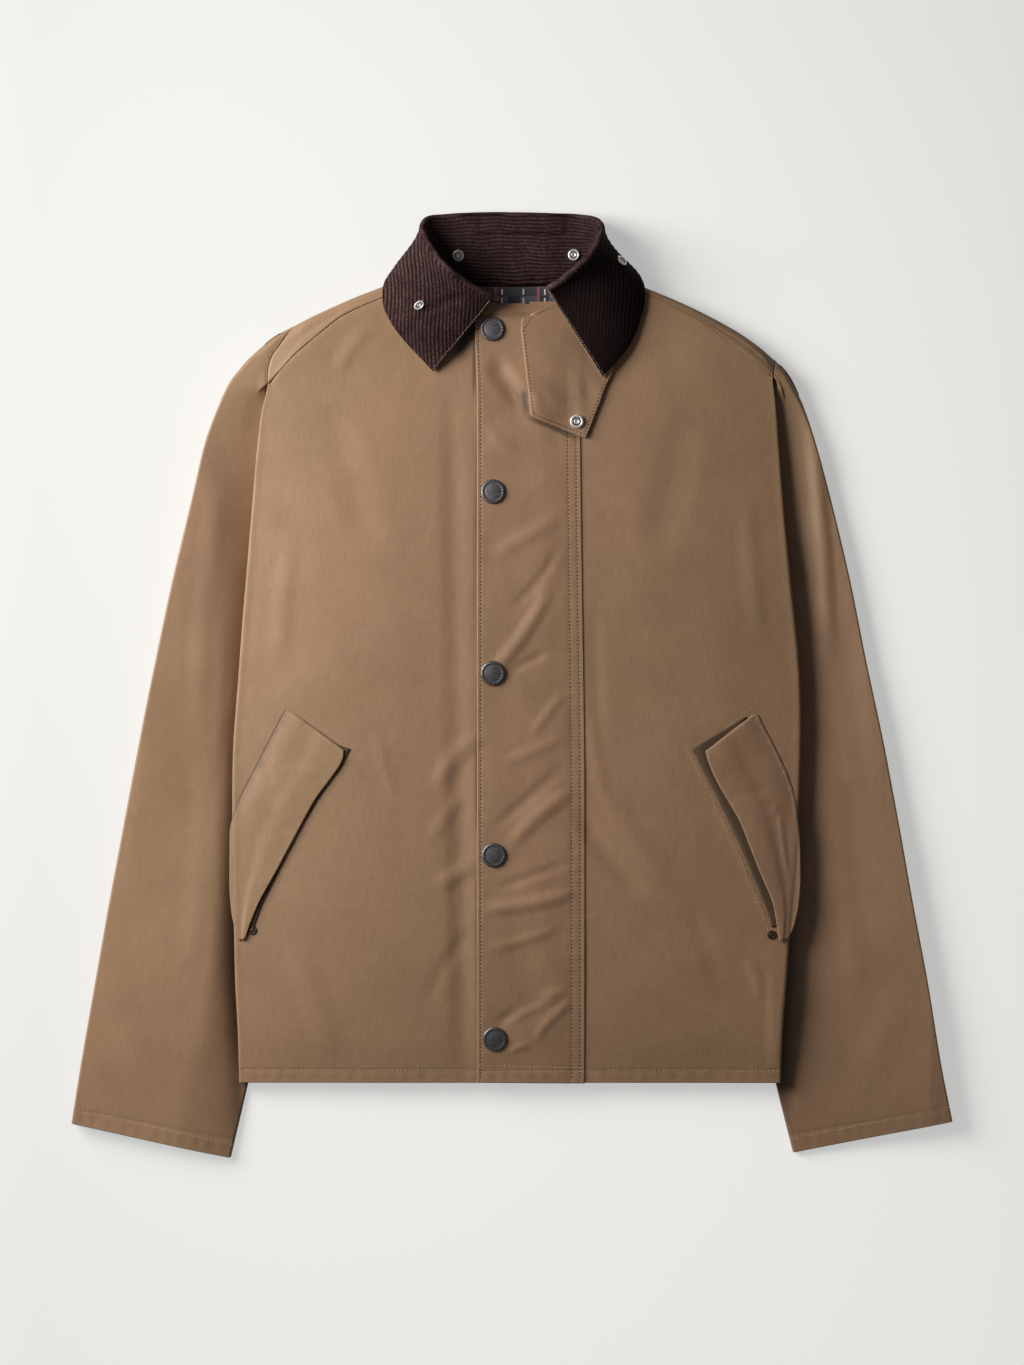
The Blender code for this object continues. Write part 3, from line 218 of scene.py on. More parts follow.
SHOULDER_FOLD = {
    # distance, y
    "right": (
        (79.1, 347.0), (96.0, 339.6), (114.0, 332.4), (130.0, 326.3), (144.0, 320.3), (159.0, 313.4),
        (171.5, 307.5),
    ),
    "left": (
        (79.1, 347.0), (98.0, 339.2), (120.3, 330.2), (143.0, 320.6), (165.0, 310.0), (190.0, 296.2),
        (208.6, 283.1),
    ),
}
FORWARD_SEAM = {
    # distance, y
    "right": (
        (83.8, 335.8), (108.2, 324.9), (129.5, 315.8), (145.6, 307.3), (161.6, 294.5), (182.9, 276.3),
        (193.7, 264.5), (204.2, 252.6),
    ),
    "left": (
        (85.5, 338.3), (110.5, 328.7), (134.1, 317.9), (160.8, 303.5), (182.2, 286.9), (203.6, 271.4),
        (214.3, 262.9), (218.4, 258.4),
    ),
}
BACK_NECK = (
    # x, y
    (-74.2, 341.0), (-52.3, 337.7), (-27.0, 336.0), (0.0, 335.6), (27.0, 336.0), (52.3, 337.7),
    (74.2, 341.0),
)
SIDE_SEAM = (
    # y, distance
    (HEM_Y, 206.0), (-280.0, 195.5), (-220.0, 185.0), (-150.0, 172.5), (-80.0, 162.0), (-40.0, 156.8),
    (-24.0, 155.6),
)
BACK_ARMHOLE = {
    # y, distance
    "right": (
        (15.0, 168.5), (50.0, 178.0), (90.0, 184.5), (140.0, 188.5), (190.0, 189.8), (232.0, 188.6),
        (264.0, 184.5),
    ),
    "left": (
        (15.0, 169.0), (50.0, 180.0), (90.0, 188.0), (135.0, 195.0), (175.0, 201.0), (212.0, 206.5),
        (240.0, 210.5),
    ),
}
SHOULDER_ARMHOLE = {
    # distance, y, z, from the back's armhole round the fold to the forward seam's foot
    "right": (
        (179.0, 292.6, 0.0), (182.0, 297.6, 2.2), (183.4, 301.2, 7.5), (187.0, 296.6, 12.6),
        (194.0, 286.0, 14.9), (201.0, 275.6, 15.2), (204.4, 264.4, 15.6), (204.6, 252.6, 16.2),
    ),
    "left": (
        (214.0, 264.6, 0.0), (218.0, 269.0, 2.2), (220.4, 273.0, 7.5), (220.8, 270.0, 11.0),
        (220.6, 267.2, 13.4), (220.0, 264.4, 14.9), (219.4, 261.4, 15.8), (218.8, 258.4, 16.2),
    ),
}
HEIGHTS = (
    # y, sleeve under body, fold radius, front, sleeve
    (-400.0, 4.6, 4.0, 14.0, 13.0),
    (-334.0, 4.6, 4.0, 14.5, 15.5),
    (-300.0, 4.6, 5.2, 18.5, 16.5),
    (-240.0, 4.6, 6.0, 22.5, 17.0),
    (-100.0, 4.6, 6.2, 25.0, 16.6),
    (120.0, 4.6, 6.2, 25.0, 17.4),
    (180.0, 5.6, 5.6, 23.5, 16.4),
    (220.0, 8.2, 4.2, 22.0, 15.0),
    (240.0, 10.6, 2.9, 21.0, 15.2),
    (253.0, 12.2, 1.9, 20.5, 15.5),
    (275.0, 13.8, 1.9, 18.6, 15.8),
    (300.0, 14.0, 1.9, 17.4, 15.0),
    (345.0, 14.0, 1.9, 16.6, 15.0),
)
# Painted shade on the fronts: a painted shadow under the collar's leaf and painted shadow lines beside both
# edges of the storm flap. Columns are those of the folds below, with how dark the painted shade is in place
# of its height.
FRONT_PAINTED_SHADE = (
    (-28.0, 308.0, -47.0, 275.0, 10.0, 1.0, 0.0),
    (-32.0, 296.0, -31.0, 240.0, 2.2, 0.7, 0.0),
    (-30.6, 240.0, -30.2, -20.0, 1.8, 0.4, 0.0),
    (-30.2, -40.0, -30.0, -120.0, 2.4, 0.55, 0.0),
    (-30.0, -150.0, -30.0, -330.0, 2.0, 0.5, 0.0),
    (61.0, -334.0, 61.0, -100.0, 1.5, 0.6, 0.0),
    (60.6, -100.0, 59.2, 60.0, 1.5, 0.6, 0.0),
    (59.2, 60.0, 57.6, 206.0, 1.5, 0.6, 0.0),
)
# Folds of the fronts: where each starts and ends, its half width, its height (a trough is negative)
# and how far its middle bows sideways.
FRONT_FOLDS = (
    (-50.0, 240.0, -46.0, -40.0, 14.0, -1.2, 0.0),
    (-45.0, -30.0, -40.0, -320.0, 15.0, -1.9, 0.0),
    (-30.0, -43.0, -62.0, -84.0, 12.0, 1.5, 3.0),
    (-34.0, -148.0, -62.0, -168.0, 11.0, 1.4, -2.0),
    (-40.0, -92.0, -66.0, -128.0, 9.0, 0.8, 2.0),
    (-38.0, -210.0, -70.0, -262.0, 10.0, -0.8, 2.0),
    (58.0, -108.0, 110.0, -175.0, 13.0, -1.5, 4.0),
    (84.0, -96.0, 134.0, -168.0, 15.0, 1.0, 4.0),
    (66.0, -30.0, 84.0, -110.0, 9.0, 0.7, 3.0),
    (70.0, 60.0, 74.0, -40.0, 10.0, -0.6, 2.0),
    (219.0, -240.0, 221.0, -322.0, 9.0, 1.1, 0.0),
    (198.0, -232.0, 208.0, -262.0, 8.0, 0.9, -2.0),
    (150.0, -190.0, 176.0, -250.0, 12.0, -0.7, 0.0),
    (-150.0, 225.0, -120.0, 120.0, 22.0, -1.0, 0.0),
    (150.0, 230.0, 120.0, 110.0, 24.0, -1.0, 0.0),
    (-180.0, -225.0, -150.0, -310.0, 18.0, 1.0, 0.0),
    (-112.0, -44.0, -96.0, -96.0, 8.0, 0.6, 2.0),
    (-120.0, 300.0, -146.0, 262.0, 10.0, 0.7, 2.0),
    (96.0, 322.0, 92.0, 290.0, 8.0, 0.7, 0.0),
    (-186.0, 120.0, -196.0, 20.0, 12.0, 0.7, 0.0),
    (196.0, 150.0, 206.0, 40.0, 12.0, 0.7, 0.0),
    (147.0, -52.0, 167.0, -90.0, 2.6, 0.7, 0.0),
    (167.0, -92.0, 186.0, -131.0, 2.6, 0.7, 0.0),
    (186.6, -133.0, 214.0, -200.0, 2.6, 0.7, 0.0),
)


def ease(share):
    """0 to 1 with a level start and end."""
    held = np.clip(share, 0.0, 1.0)
    return held * held * (3.0 - 2.0 * held)


def blend(start, end, share):
    """What lies a share of the way from start to end."""
    return start + (end - start) * share


def smooth(table, at, column=1):
    """A column of a table at a value of its first column, on a smooth curve through its rows."""
    rows = np.array(sorted(table), float)
    known, values = rows[:, 0], rows[:, column]
    slopes = np.gradient(values, known)
    at = np.clip(at, known[0], known[-1])
    left = np.clip(np.searchsorted(known, at, side="right") - 1, 0, len(known) - 2)
    span = known[left + 1] - known[left]
    t = (at - known[left]) / span
    start = values[left] * (1.0 + 2.0 * t) * (1.0 - t) ** 2 + slopes[left] * span * t * (1.0 - t) ** 2
    end = values[left + 1] * t**2 * (3.0 - 2.0 * t) + slopes[left + 1] * span * t**2 * (t - 1.0)
    return start + end


def refine(points, times):
    """The same line of points, or grid, along its first axis, smoothly with times steps between each two."""
    points = np.array(points, float)
    shape = (-1,) + (1,) * (points.ndim - 1)
    steps = np.arange((len(points) - 1) * times + 1) / times
    left = np.minimum(steps.astype(int), len(points) - 2)
    t = (steps - left).reshape(shape)
    slopes = np.gradient(points, axis=0)
    start = points[left] * (1.0 + 2.0 * t) * (1.0 - t) ** 2 + slopes[left] * t * (1.0 - t) ** 2
    end = points[left + 1] * t**2 * (3.0 - 2.0 * t) + slopes[left + 1] * t**2 * (t - 1.0)
    return start + end


def along_straight(points, shares):
    """Points of a line of straight runs, at shares of its length."""
    reached = np.concatenate([[0.0], np.cumsum(np.linalg.norm(np.diff(points, axis=0), axis=1))])
    places = np.array(shares) * reached[-1]
    return np.stack([np.interp(places, reached, values) for values in points.T], axis=-1)


def along(path, shares):
    """Points of a smooth path at shares of its length."""
    return along_straight(refine(path, 8), shares)


def folds(table, x, y):
    """What the folds of a table add to a surface."""
    total = np.zeros(np.broadcast(x, y).shape)
    for x0, y0, x1, y1, half_width, height, bow in table:
        run_x, run_y = x1 - x0, y1 - y0
        length = math.hypot(run_x, run_y)
        share = ((x - x0) * run_x + (y - y0) * run_y) / length**2
        across = ((x - x0) * run_y - (y - y0) * run_x) / length
        across = across - bow * 4.0 * share * (1.0 - share)
        ends = ease((share + 0.15) / 0.4) * ease((1.15 - share) / 0.4)
        total += height * ends * (1.0 - ease(np.abs(across) / half_width))
    return total


def painted_shade_of(table, x, y):
    """How dark the painted shade from a table is at each point, from 0 to 1: painted shadow in creases and
    gaps and beside raised edges.
    """
    return np.clip(folds(table, x, y), 0.0, 0.95).reshape(-1)


waves = np.random.default_rng(11)
RIPPLES = [
    (waves.uniform(0.0, math.pi), waves.uniform(38.0, 150.0), waves.uniform(0.0, 2.0 * math.pi))
    for _ in range(16)
]
RIPPLE_SUM = 620.0  # brings the sum of all the waves down to about 1


def ripple(x, y, height):
    """The faint unevenness of cloth that has been worn and laid out, about as high as height."""
    total = 0.0
    for turn, length, start in RIPPLES:
        travelled = x * math.cos(turn) + y * math.sin(turn)
        total = total + np.sin(travelled * 2.0 * math.pi / length + start) * length
    return total * height / RIPPLE_SUM


def lying_height(y):
    """What the body's edge lies on: the flattened sleeve under it."""
    return smooth(HEIGHTS, y, 1)


def fold_radius(side, y):
    """The side fold's half height; the wearer's left side stands fuller below the chest."""
    fuller = 0.0
    if side == "left":
        fuller = 0.2 * ease((150.0 - y) / 60.0) + 0.2 * ease((-170.0 - y) / 80.0)
    return smooth(HEIGHTS, y, 2) * (1.0 + fuller)


def front_height(side, distance, y):
    """The front's outer surface, from the top of its side fold to the middle."""
    radius = fold_radius(side, y)
    fold_top = lying_height(y) + LYING_GAP + 2.0 * radius
    inward = smooth(SIDE_EDGE[side], np.minimum(y, SIDE_FOLD_TOP_Y)) - radius - distance
    rise = np.sin(0.5 * math.pi * np.clip(inward / FRONT_RISE, 0.0, 1.0))
    x = SIDE_SIGN[side] * distance
    level = blend(fold_top, smooth(HEIGHTS, y, 3), rise) + folds(FRONT_FOLDS, x, y)
    level = level + ripple(x, y, 0.5) * ease(inward / 40.0) * ease((345.0 - y) / 40.0)
    hem = y - HEM_Y
    pucker = HEM_PUCKER * np.sin(x / 2.1 + 2.0 * np.sin(x / 17.0)) * np.exp(-((hem - 6.0) / 5.0) ** 2)
    return level + pucker - STITCH_GROOVE * np.exp(-((hem - HEM_STITCH) / 1.1) ** 2)


def quads_of(index):
    """The quads between neighbouring rows and columns of a table of point numbers."""
    corners = (index[:-1, :-1], index[:-1, 1:], index[1:, 1:], index[1:, :-1])
    return np.stack(corners, axis=-1).reshape(-1, 4)


def grid_quads(rows, columns, closed=False):
    """The quads of a grid of points, row after row; closed joins each row's end to its start."""
    index = np.arange(rows * columns).reshape(rows, columns)
    return quads_of(np.hstack([index, index[:, :1]]) if closed else index)


def cut_lengths(grid):
    """How far each point of a grid lies along and across the cloth, in metres."""
    across = np.linalg.norm(np.diff(grid, axis=1), axis=2)
    upward = np.linalg.norm(np.diff(grid, axis=0), axis=2)
    u = np.concatenate([np.zeros((len(grid), 1)), np.cumsum(across, axis=1)], axis=1)
    v = np.concatenate([np.zeros((1, grid.shape[1])), np.cumsum(upward, axis=0)], axis=0)
    return np.stack([u, v], axis=-1).reshape(-1, 2) * MM


def facing_of(points, quads):
    """Which way the cloth faces at each point, the mean of the quads round it."""
    diagonals = points[quads[:, 2]] - points[quads[:, 0]], points[quads[:, 3]] - points[quads[:, 1]]
    crosses = np.cross(*diagonals)
    normals = np.zeros_like(points)
    for corner in range(4):
        np.add.at(normals, quads[:, corner], crosses)
    return normals / np.linalg.norm(normals, axis=1)[:, None]


def in_frame(points):
    """Points in metres from the frame's origin."""
    return (np.array(points) - MIDDLE) * MM


WEAR_REACH = 2.2  # how far wear reaches in from an edge


def sew(name, points, quads, thickness, cut, flip=False, rim=0.35, marks=None):
    """A closed wall of cloth from its outer points in mm: the same points moved in, and a rolled rim.

    cut holds each point's place on the flat cloth, for the weave. marks holds named values of points.
    """
    points = np.array(points, float)
    quads = np.array(quads)[:, ::-1] if flip else np.array(quads)
    count = len(points)
    normals = facing_of(points, quads)
    starts, ends = quads.ravel(), np.roll(quads, -1, axis=1).ravel()
    lone = ~np.isin(starts * count + ends, ends * count + starts)
    starts, ends = starts[lone], ends[lone]
    outward = np.zeros_like(points)
    away = np.cross(points[ends] - points[starts], normals[starts])
    away /= np.linalg.norm(away, axis=1)[:, None]
    np.add.at(outward, starts, away)
    np.add.at(outward, ends, away)
    border = np.unique(starts)
    outward = outward[border] / np.linalg.norm(outward[border], axis=1)[:, None]
    inner = points - normals * thickness
    middle = (points[border] + inner[border]) / 2.0 + outward * thickness * rim
    at_rim = np.zeros(count, int)
    at_rim[border] = 2 * count + np.arange(len(border))
    walls = [quads, quads[:, ::-1] + count]
    walls.append(np.stack([ends, starts, at_rim[starts], at_rim[ends]], axis=-1))
    walls.append(np.stack([at_rim[ends], at_rim[starts], starts + count, ends + count], axis=-1))
    walls = np.concatenate(walls)
    mesh = bpy.data.meshes.new(name)
    mesh.from_pydata(in_frame(np.concatenate([points, inner, middle])).tolist(), [], walls.tolist())

    # A tube's last quads run from its end back to its start, so their starts move on by a whole round.
    places = np.concatenate([cut, cut, cut[border]])[walls]
    across, whole = places[:, :, 0], np.ptp(cut[:, 0])
    wide = across.max(axis=1) - across.min(axis=1) > 0.6 * whole
    across[wide] += np.where(across[wide] < cut[:, 0].mean(), whole, 0.0)
    mesh.uv_layers.new(name="cut").data.foreach_set("uv", places.astype(np.float32).ravel())

    nearest = np.full(count, 1e9)
    for first in range(0, len(border), 50):
        gaps = points[:, None, :] - points[None, border[first : first + 50], :]
        nearest = np.minimum(nearest, np.sqrt((gaps**2).sum(axis=2)).min(axis=1))
    for mark, values in {"worn": np.exp(-nearest / WEAR_REACH), **(marks or {})}.items():
        values = np.concatenate([values, values, values[border]]).astype(np.float32)
        mesh.attributes.new(mark, "FLOAT", "POINT").data.foreach_set("value", values)
    mesh.shade_smooth()
    made = bpy.data.objects.new(name, mesh)
    scene.collection.objects.link(made)
    return made


def noise(tree, place, scale, detail=2.0, stretch=(1.0, 1.0, 1.0)):
    """Clouds of a scale, over a place that may be stretched."""
    mapping = tree.nodes.new("ShaderNodeMapping")
    mapping.inputs["Scale"].default_value = stretch
    tree.links.new(place, mapping.inputs["Vector"])
    made = tree.nodes.new("ShaderNodeTexNoise")
    made.inputs["Scale"].default_value = scale
    made.inputs["Detail"].default_value = detail
    tree.links.new(mapping.outputs["Vector"], made.inputs["Vector"])
    return made.outputs["Fac"]


def mark_of(tree, name):
    """A value that the mesh carries at its points."""
    made = tree.nodes.new("ShaderNodeAttribute")
    made.attribute_name = name
    return made.outputs["Fac"]


def roughened(tree, height, strength, depth, under=None):
    """Fine relief from a height, over another relief where there is one."""
    bump = tree.nodes.new("ShaderNodeBump")
    bump.inputs["Strength"].default_value = strength
    bump.inputs["Distance"].default_value = depth
    tree.links.new(height, bump.inputs["Height"])
    if under is not None:
        tree.links.new(under, bump.inputs["Normal"])
    return bump.outputs["Normal"]


BLOTCH_TINT, SLUB_TINT, PAINTED_SHADE_TINT = (0.55, 0.50, 0.46), (0.72, 0.70, 0.68), (0.020, 0.012, 0.008)
WEAVE_SCALE, WEAVE_DEPTH, CRUMPLE_DEPTH = 420.0, 0.00012, 0.0006


def waxed_cloth(name, ruddy, olive, faded, streak):
    """Matt waxed cotton: clouded tan and olive, a close plain weave, slubs, paler worn edges and marked
    painted shade.
    """
    made, tree, shader = shaded(name, {
        "Specular IOR Level": 0.42, "Sheen Weight": 0.12, "Sheen Roughness": 0.5,
        "Sheen Tint": (0.95, 0.86, 0.74, 1.0),
    })
    place = tree.nodes.new("ShaderNodeTexCoord").outputs["Object"]
    flat_cloth = tree.nodes.new("ShaderNodeUVMap")
    flat_cloth.uv_map = "cut"
    cut = flat_cloth.outputs["UV"]
    cloud = ramp(tree, noise(tree, place, 5.5), 0.38, 0.62)
    blotch = ramp(tree, noise(tree, place, 34.0, 3.0), 0.3, 0.7)
    slub = ramp(tree, noise(tree, cut, 1.0, 2.0, (900.0, 60.0, 1.0)), 0.35, 0.7)
    colour = dyed(tree, cloud, olive, ruddy)
    colour = dyed(tree, reckon(tree, "MULTIPLY", blotch, 0.22), colour, BLOTCH_TINT, "MULTIPLY")
    colour = dyed(tree, reckon(tree, "MULTIPLY", slub, streak), colour, SLUB_TINT, "MULTIPLY")
    worn = reckon(tree, "MULTIPLY", mark_of(tree, "worn"), blotch)
    colour = dyed(tree, reckon(tree, "MULTIPLY", worn, 0.22), colour, faded)
    # Painted shade: the colour is darkened where the mesh is marked, standing in for shadow in creases and
    # gaps and beside raised edges.
    colour = dyed(tree, mark_of(tree, "painted_shade"), colour, PAINTED_SHADE_TINT)
    tree.links.new(colour, shader.inputs["Base Color"])
    tree.links.new(ramp(tree, blotch, 0.0, 1.0, 0.50, 0.62), shader.inputs["Roughness"])

    threads = []
    for direction in ("X", "Y"):
        thread = tree.nodes.new("ShaderNodeTexWave")
        thread.bands_direction = direction
        thread.inputs["Scale"].default_value = WEAVE_SCALE
        thread.inputs["Distortion"].default_value = 1.5
        thread.inputs["Detail"].default_value = 1.0
        tree.links.new(cut, thread.inputs["Vector"])
        threads.append(thread.outputs["Fac"])
    weave = roughened(tree, reckon(tree, "MULTIPLY", *threads), 0.25, WEAVE_DEPTH)
    crumple = roughened(tree, noise(tree, place, 120.0, 4.0), 0.5, CRUMPLE_DEPTH, weave)
    tree.links.new(crumple, shader.inputs["Normal"])
    return made


TAN_RUDDY, TAN_OLIVE, TAN_FADED = (0.341, 0.199, 0.114), (0.313, 0.191, 0.104), (0.44, 0.30, 0.19)
body_cloth = waxed_cloth("body_cloth", TAN_RUDDY, TAN_OLIVE, TAN_FADED, 0.35)


def shoulder_strip(side):
    """The back over the shoulder: stations along the shoulder, each a line round the fold to the seam."""
    stations = []
    for outline, seam in zip(np.array(SHOULDER_FOLD[side]), np.array(FORWARD_SEAM[side])):
        inward = (seam - outline) / np.linalg.norm(seam - outline)
        column = []
        for angle in np.radians((0.0, 60.0, 90.0, 130.0, 180.0)):
            reach = SHOULDER_FOLD_RADIUS * (1.0 - math.sin(angle))
            column.append((*(outline + inward * reach), SHOULDER_FOLD_RADIUS * (1.0 - math.cos(angle))))
        rim = float(front_height(side, *seam))
        start = np.array(column[-1])
        for share in (0.35, 0.7, 1.0):
            place = blend(start, np.array([*(seam - inward * SEAM_GAP), rim]), share)
            place[2] = blend(start[2], rim, ease(share / 0.77))
            column.append(tuple(place))
        stations.append(column)
    stations.append([(x - SEAM_GAP / 2.0, y, z) for x, y, z in SHOULDER_ARMHOLE[side]])
    fine = refine(np.array(stations).swapaxes(0, 1), 5).swapaxes(0, 1)
    fine = refine(fine, 8)
    # Just past the fold's top each line starts to rise, so that it ends level with the front.
    rim = front_height(side, fine[:, -1, 0], fine[:, -1, 1])
    share = ease((np.arange(fine.shape[1]) - 24.0) / (fine.shape[1] - 25.0))
    fine[:, :, 2] += (rim - fine[:, -1, 2])[:, None] * share
    fine[:, -3:, 2] += (0.2, 0.3, 0.15)
    return fine


strips = {side: shoulder_strip(side) for side in SIDE_SIGN}
back_sides = {}
for side, strip in strips.items():
    edge = [(distance - SEAM_GAP / 2.0, y) for y, distance in SIDE_SEAM]
    edge.append((UNDERARM_X - SEAM_GAP, UNDERARM_Y))
    edge += [(distance - SEAM_GAP / 2.0, y) for y, distance in BACK_ARMHOLE[side]]
    back_sides[side] = refine(edge + [tuple(strip[-1, 0, :2])], 3)
right_top = strips["right"][::-1, 0, :2] * np.array([-1.0, 1.0])
back_top = np.concatenate([right_top, refine(BACK_NECK, 6), strips["left"][:, 0, :2]])
across = (back_top[:, 0] - back_top[0, 0]) / (back_top[-1, 0] - back_top[0, 0])
straight_top = blend(back_top[0], back_top[-1], across[:, None])
back_rows = []
for right_end, left_end in zip(back_sides["right"], back_sides["left"]):
    start = right_end * np.array([-1.0, 1.0])
    upward = (left_end[1] + start[1] - 2.0 * HEM_Y) / (back_top[0, 1] + back_top[-1, 1] - 2.0 * HEM_Y)
    row = blend(start, left_end, across[:, None]) + (back_top - straight_top) * upward
    back_rows.append(np.concatenate([row, np.zeros((len(row), 1))], axis=1))
back_grid = np.array(back_rows)
back_points = [back_grid.reshape(-1, 3)]
back_quads = [grid_quads(*back_grid.shape[:2])[:, ::-1]]
back_cut = [cut_lengths(back_grid)]
reached = back_grid.shape[0] * back_grid.shape[1]
top_row = reached - back_grid.shape[1]
for side, strip in strips.items():
    stations, steps = strip.shape[:2]
    order = np.arange(stations)
    feet = top_row + (order[::-1] if side == "right" else len(back_top) - stations + order)
    raised = strip[:, 1:] * np.array([SIDE_SIGN[side], 1.0, 1.0])
    above = reached + np.arange(stations * (steps - 1)).reshape(stations, -1)
    quads = quads_of(np.concatenate([feet[:, None], above], axis=1))
    back_quads.append(quads if side == "left" else quads[:, ::-1])
    back_points.append(raised.reshape(-1, 3))
    back_cut.append(raised.reshape(-1, 3)[:, :2] * MM + SHOULDER_CUT)
    reached += stations * (steps - 1)
back = sew(
    "back_cloth", np.concatenate(back_points), np.concatenate(back_quads), CLOTH,
    np.concatenate(back_cut),
)
back.data.materials.append(body_cloth)
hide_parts("back")
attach(back, "root")

# ------------------------------------------------------------------------------------------------
# Fronts. One panel each side, from the centre opening to the side seam, which lies under the body.
# Each turns round a soft side fold, and its hem is turned up inside and sewn.
FRONT_OPENING_X = {"right": 12.0, "left": 15.0}
FRONT_NECK = {"right": ((10.0, 319.4), (35.2, 322.9), (60.3, 327.9)), "left": ((40.2, 321.2), (65.3, 328.7))}
FRONT_ARMHOLE = {
    # y, distance
    "right": (
        (249.5, 205.4), (228.0, 206.0), (190.0, 204.5), (145.0, 201.0), (98.0, 194.5), (52.0, 184.5),
        (14.0, 171.5),
    ),
    "left": (
        (255.6, 219.6), (232.0, 216.5), (194.0, 213.5), (148.0, 207.5), (100.0, 198.5), (54.0, 186.5),
        (15.0, 172.5),
    ),
}
SLEEVE_INNER = {
    # distance, y, from the underarm to the cuff
    "right": (
        (UNDERARM_X, UNDERARM_Y), (167.0, -40.0), (173.5, -80.0), (184.5, -150.0), (197.5, -220.0),
        (209.5, -280.0), (222.4, -336.6), (236.7, -398.1),
    ),
    "left": (
        (UNDERARM_X, UNDERARM_Y), (167.0, -40.0), (173.5, -80.0), (184.5, -150.0), (197.5, -220.0),
        (209.5, -280.0), (222.4, -336.6), (236.7, -394.0),
    ),
}
ROW_STEP, COLUMN_STEP = 2.7, 2.6
HEM_ROWS = (0.0, 0.4, 2.5, 5.0, 7.5, 9.0, 9.8, 10.5, 11.2, 12.0, 13.5)  # above the hem's edge
TOP_ROWS = (5.5, 3.0, 1.6, 0.8, 0.3, 0.0)  # below the shoulder seam
FOLD_TURNS = np.radians((3.0, 10.0, 20.0, 32.0, 45.0, 58.0, 72.0, 90.0, 112.0, 135.0, 155.0, 180.0))
FOLD_SHARPNESS = 0.32  # 1 turns the side fold as a circle, less pulls it towards a square


def turned_under(side, y, edge_x, radius, floor):
    """The turned-under part at y: from the side fold in to the side seam or the armhole."""
    start = edge_x - radius
    if y >= UNDERARM_Y:
        top_x, top_y = FORWARD_SEAM[side][-1]
        armhole = list(FRONT_ARMHOLE[side]) + [(UNDERARM_Y, UNDERARM_X + 1.0), (top_y, top_x)]
        end = min(float(smooth(armhole, y)), start - 1.5)
        closing = blend(0.08, 1.0, ease((y - UNDERARM_Y) / 40.0))
        shares = (0.6, 0.25 * closing, 0.12 * closing, 0.05 * closing, 0.0)
        return [(blend(end, start, share), floor) for share in shares]
    end = float(smooth(SIDE_SEAM, y)) + SEAM_GAP + 0.2
    inner = np.array(SLEEVE_INNER[side])
    crest = float(np.interp(-y, -inner[:, 1], inner[:, 0])) - 0.8
    foot = end + 2.0
    going_down = (blend(crest, foot, 0.5), floor * 0.5)
    return [(blend(start, crest, 0.5), floor), (crest, floor), going_down, (foot, 0.15), (end, 0.0)]


for side in SIDE_SIGN:
    opening = SIDE_SIGN[side] * FRONT_OPENING_X[side]
    neck = list(FRONT_NECK[side])
    seam = list(FORWARD_SEAM[side])
    first = (opening, np.interp(opening, (-60.0, neck[0][0]), (319.0, neck[0][1])))
    corner_y = seam[-1][1] - SEAM_GAP
    corner_x = float(smooth(SIDE_EDGE[side], corner_y) - fold_radius(side, corner_y))
    top = [first] + neck + seam[:-1] + [(corner_x, corner_y)]
    count = int((corner_x - opening) / COLUMN_STEP)
    shares = np.concatenate([[0.0, 0.4 / (corner_x - opening)], np.linspace(0.0, 1.0, count)[1:]])
    top_y = np.interp(blend(opening, corner_x, shares), *np.array(top).T)
    reach = corner_y - HEM_Y
    between = np.arange(16.0, reach - 6.0, ROW_STEP)
    rises = np.concatenate([HEM_ROWS, between, reach - np.array(TOP_ROWS)]) / reach
    rows = []
    for rise in rises:
        y = blend(HEM_Y, corner_y, rise)
        radius, edge_x = float(fold_radius(side, y)), float(smooth(SIDE_EDGE[side], y))
        x = blend(opening, edge_x - radius, shares)
        point_y = blend(HEM_Y, top_y - SEAM_GAP / 2.0, rise)
        z = front_height(side, x, point_y)
        dip = 0.5 * np.exp(-(top_y - point_y) / 1.6) * ease((x - 84.0) / 12.0)
        row = list(zip(x, point_y, z - dip))
        floor = float(lying_height(y)) + LYING_GAP
        centre_z = z[-1] - radius
        for turn in FOLD_TURNS:
            over = math.copysign(abs(math.cos(turn)) ** FOLD_SHARPNESS, math.cos(turn))
            level = floor if turn == FOLD_TURNS[-1] else max(centre_z + radius * over, floor)
            row.append((edge_x - radius + radius * math.sin(turn) ** FOLD_SHARPNESS, point_y[-1], level))
        under = turned_under(side, y, edge_x, radius, floor)
        row += [(under_x, point_y[-1], under_z) for under_x, under_z in under]
        rows.append(row)
    grid = np.array(rows) * np.array([SIDE_SIGN[side], 1.0, 1.0])
    front = sew(
        f"front_{side}_cloth", grid.reshape(-1, 3), grid_quads(*grid.shape[:2]), CLOTH, cut_lengths(grid),
        flip=side == "right", marks={"painted_shade": painted_shade_of(FRONT_PAINTED_SHADE, grid[:, :, 0], grid[:, :, 1])},
    )
    front.data.materials.append(body_cloth)
    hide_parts("front_" + side)
    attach(front, "root")

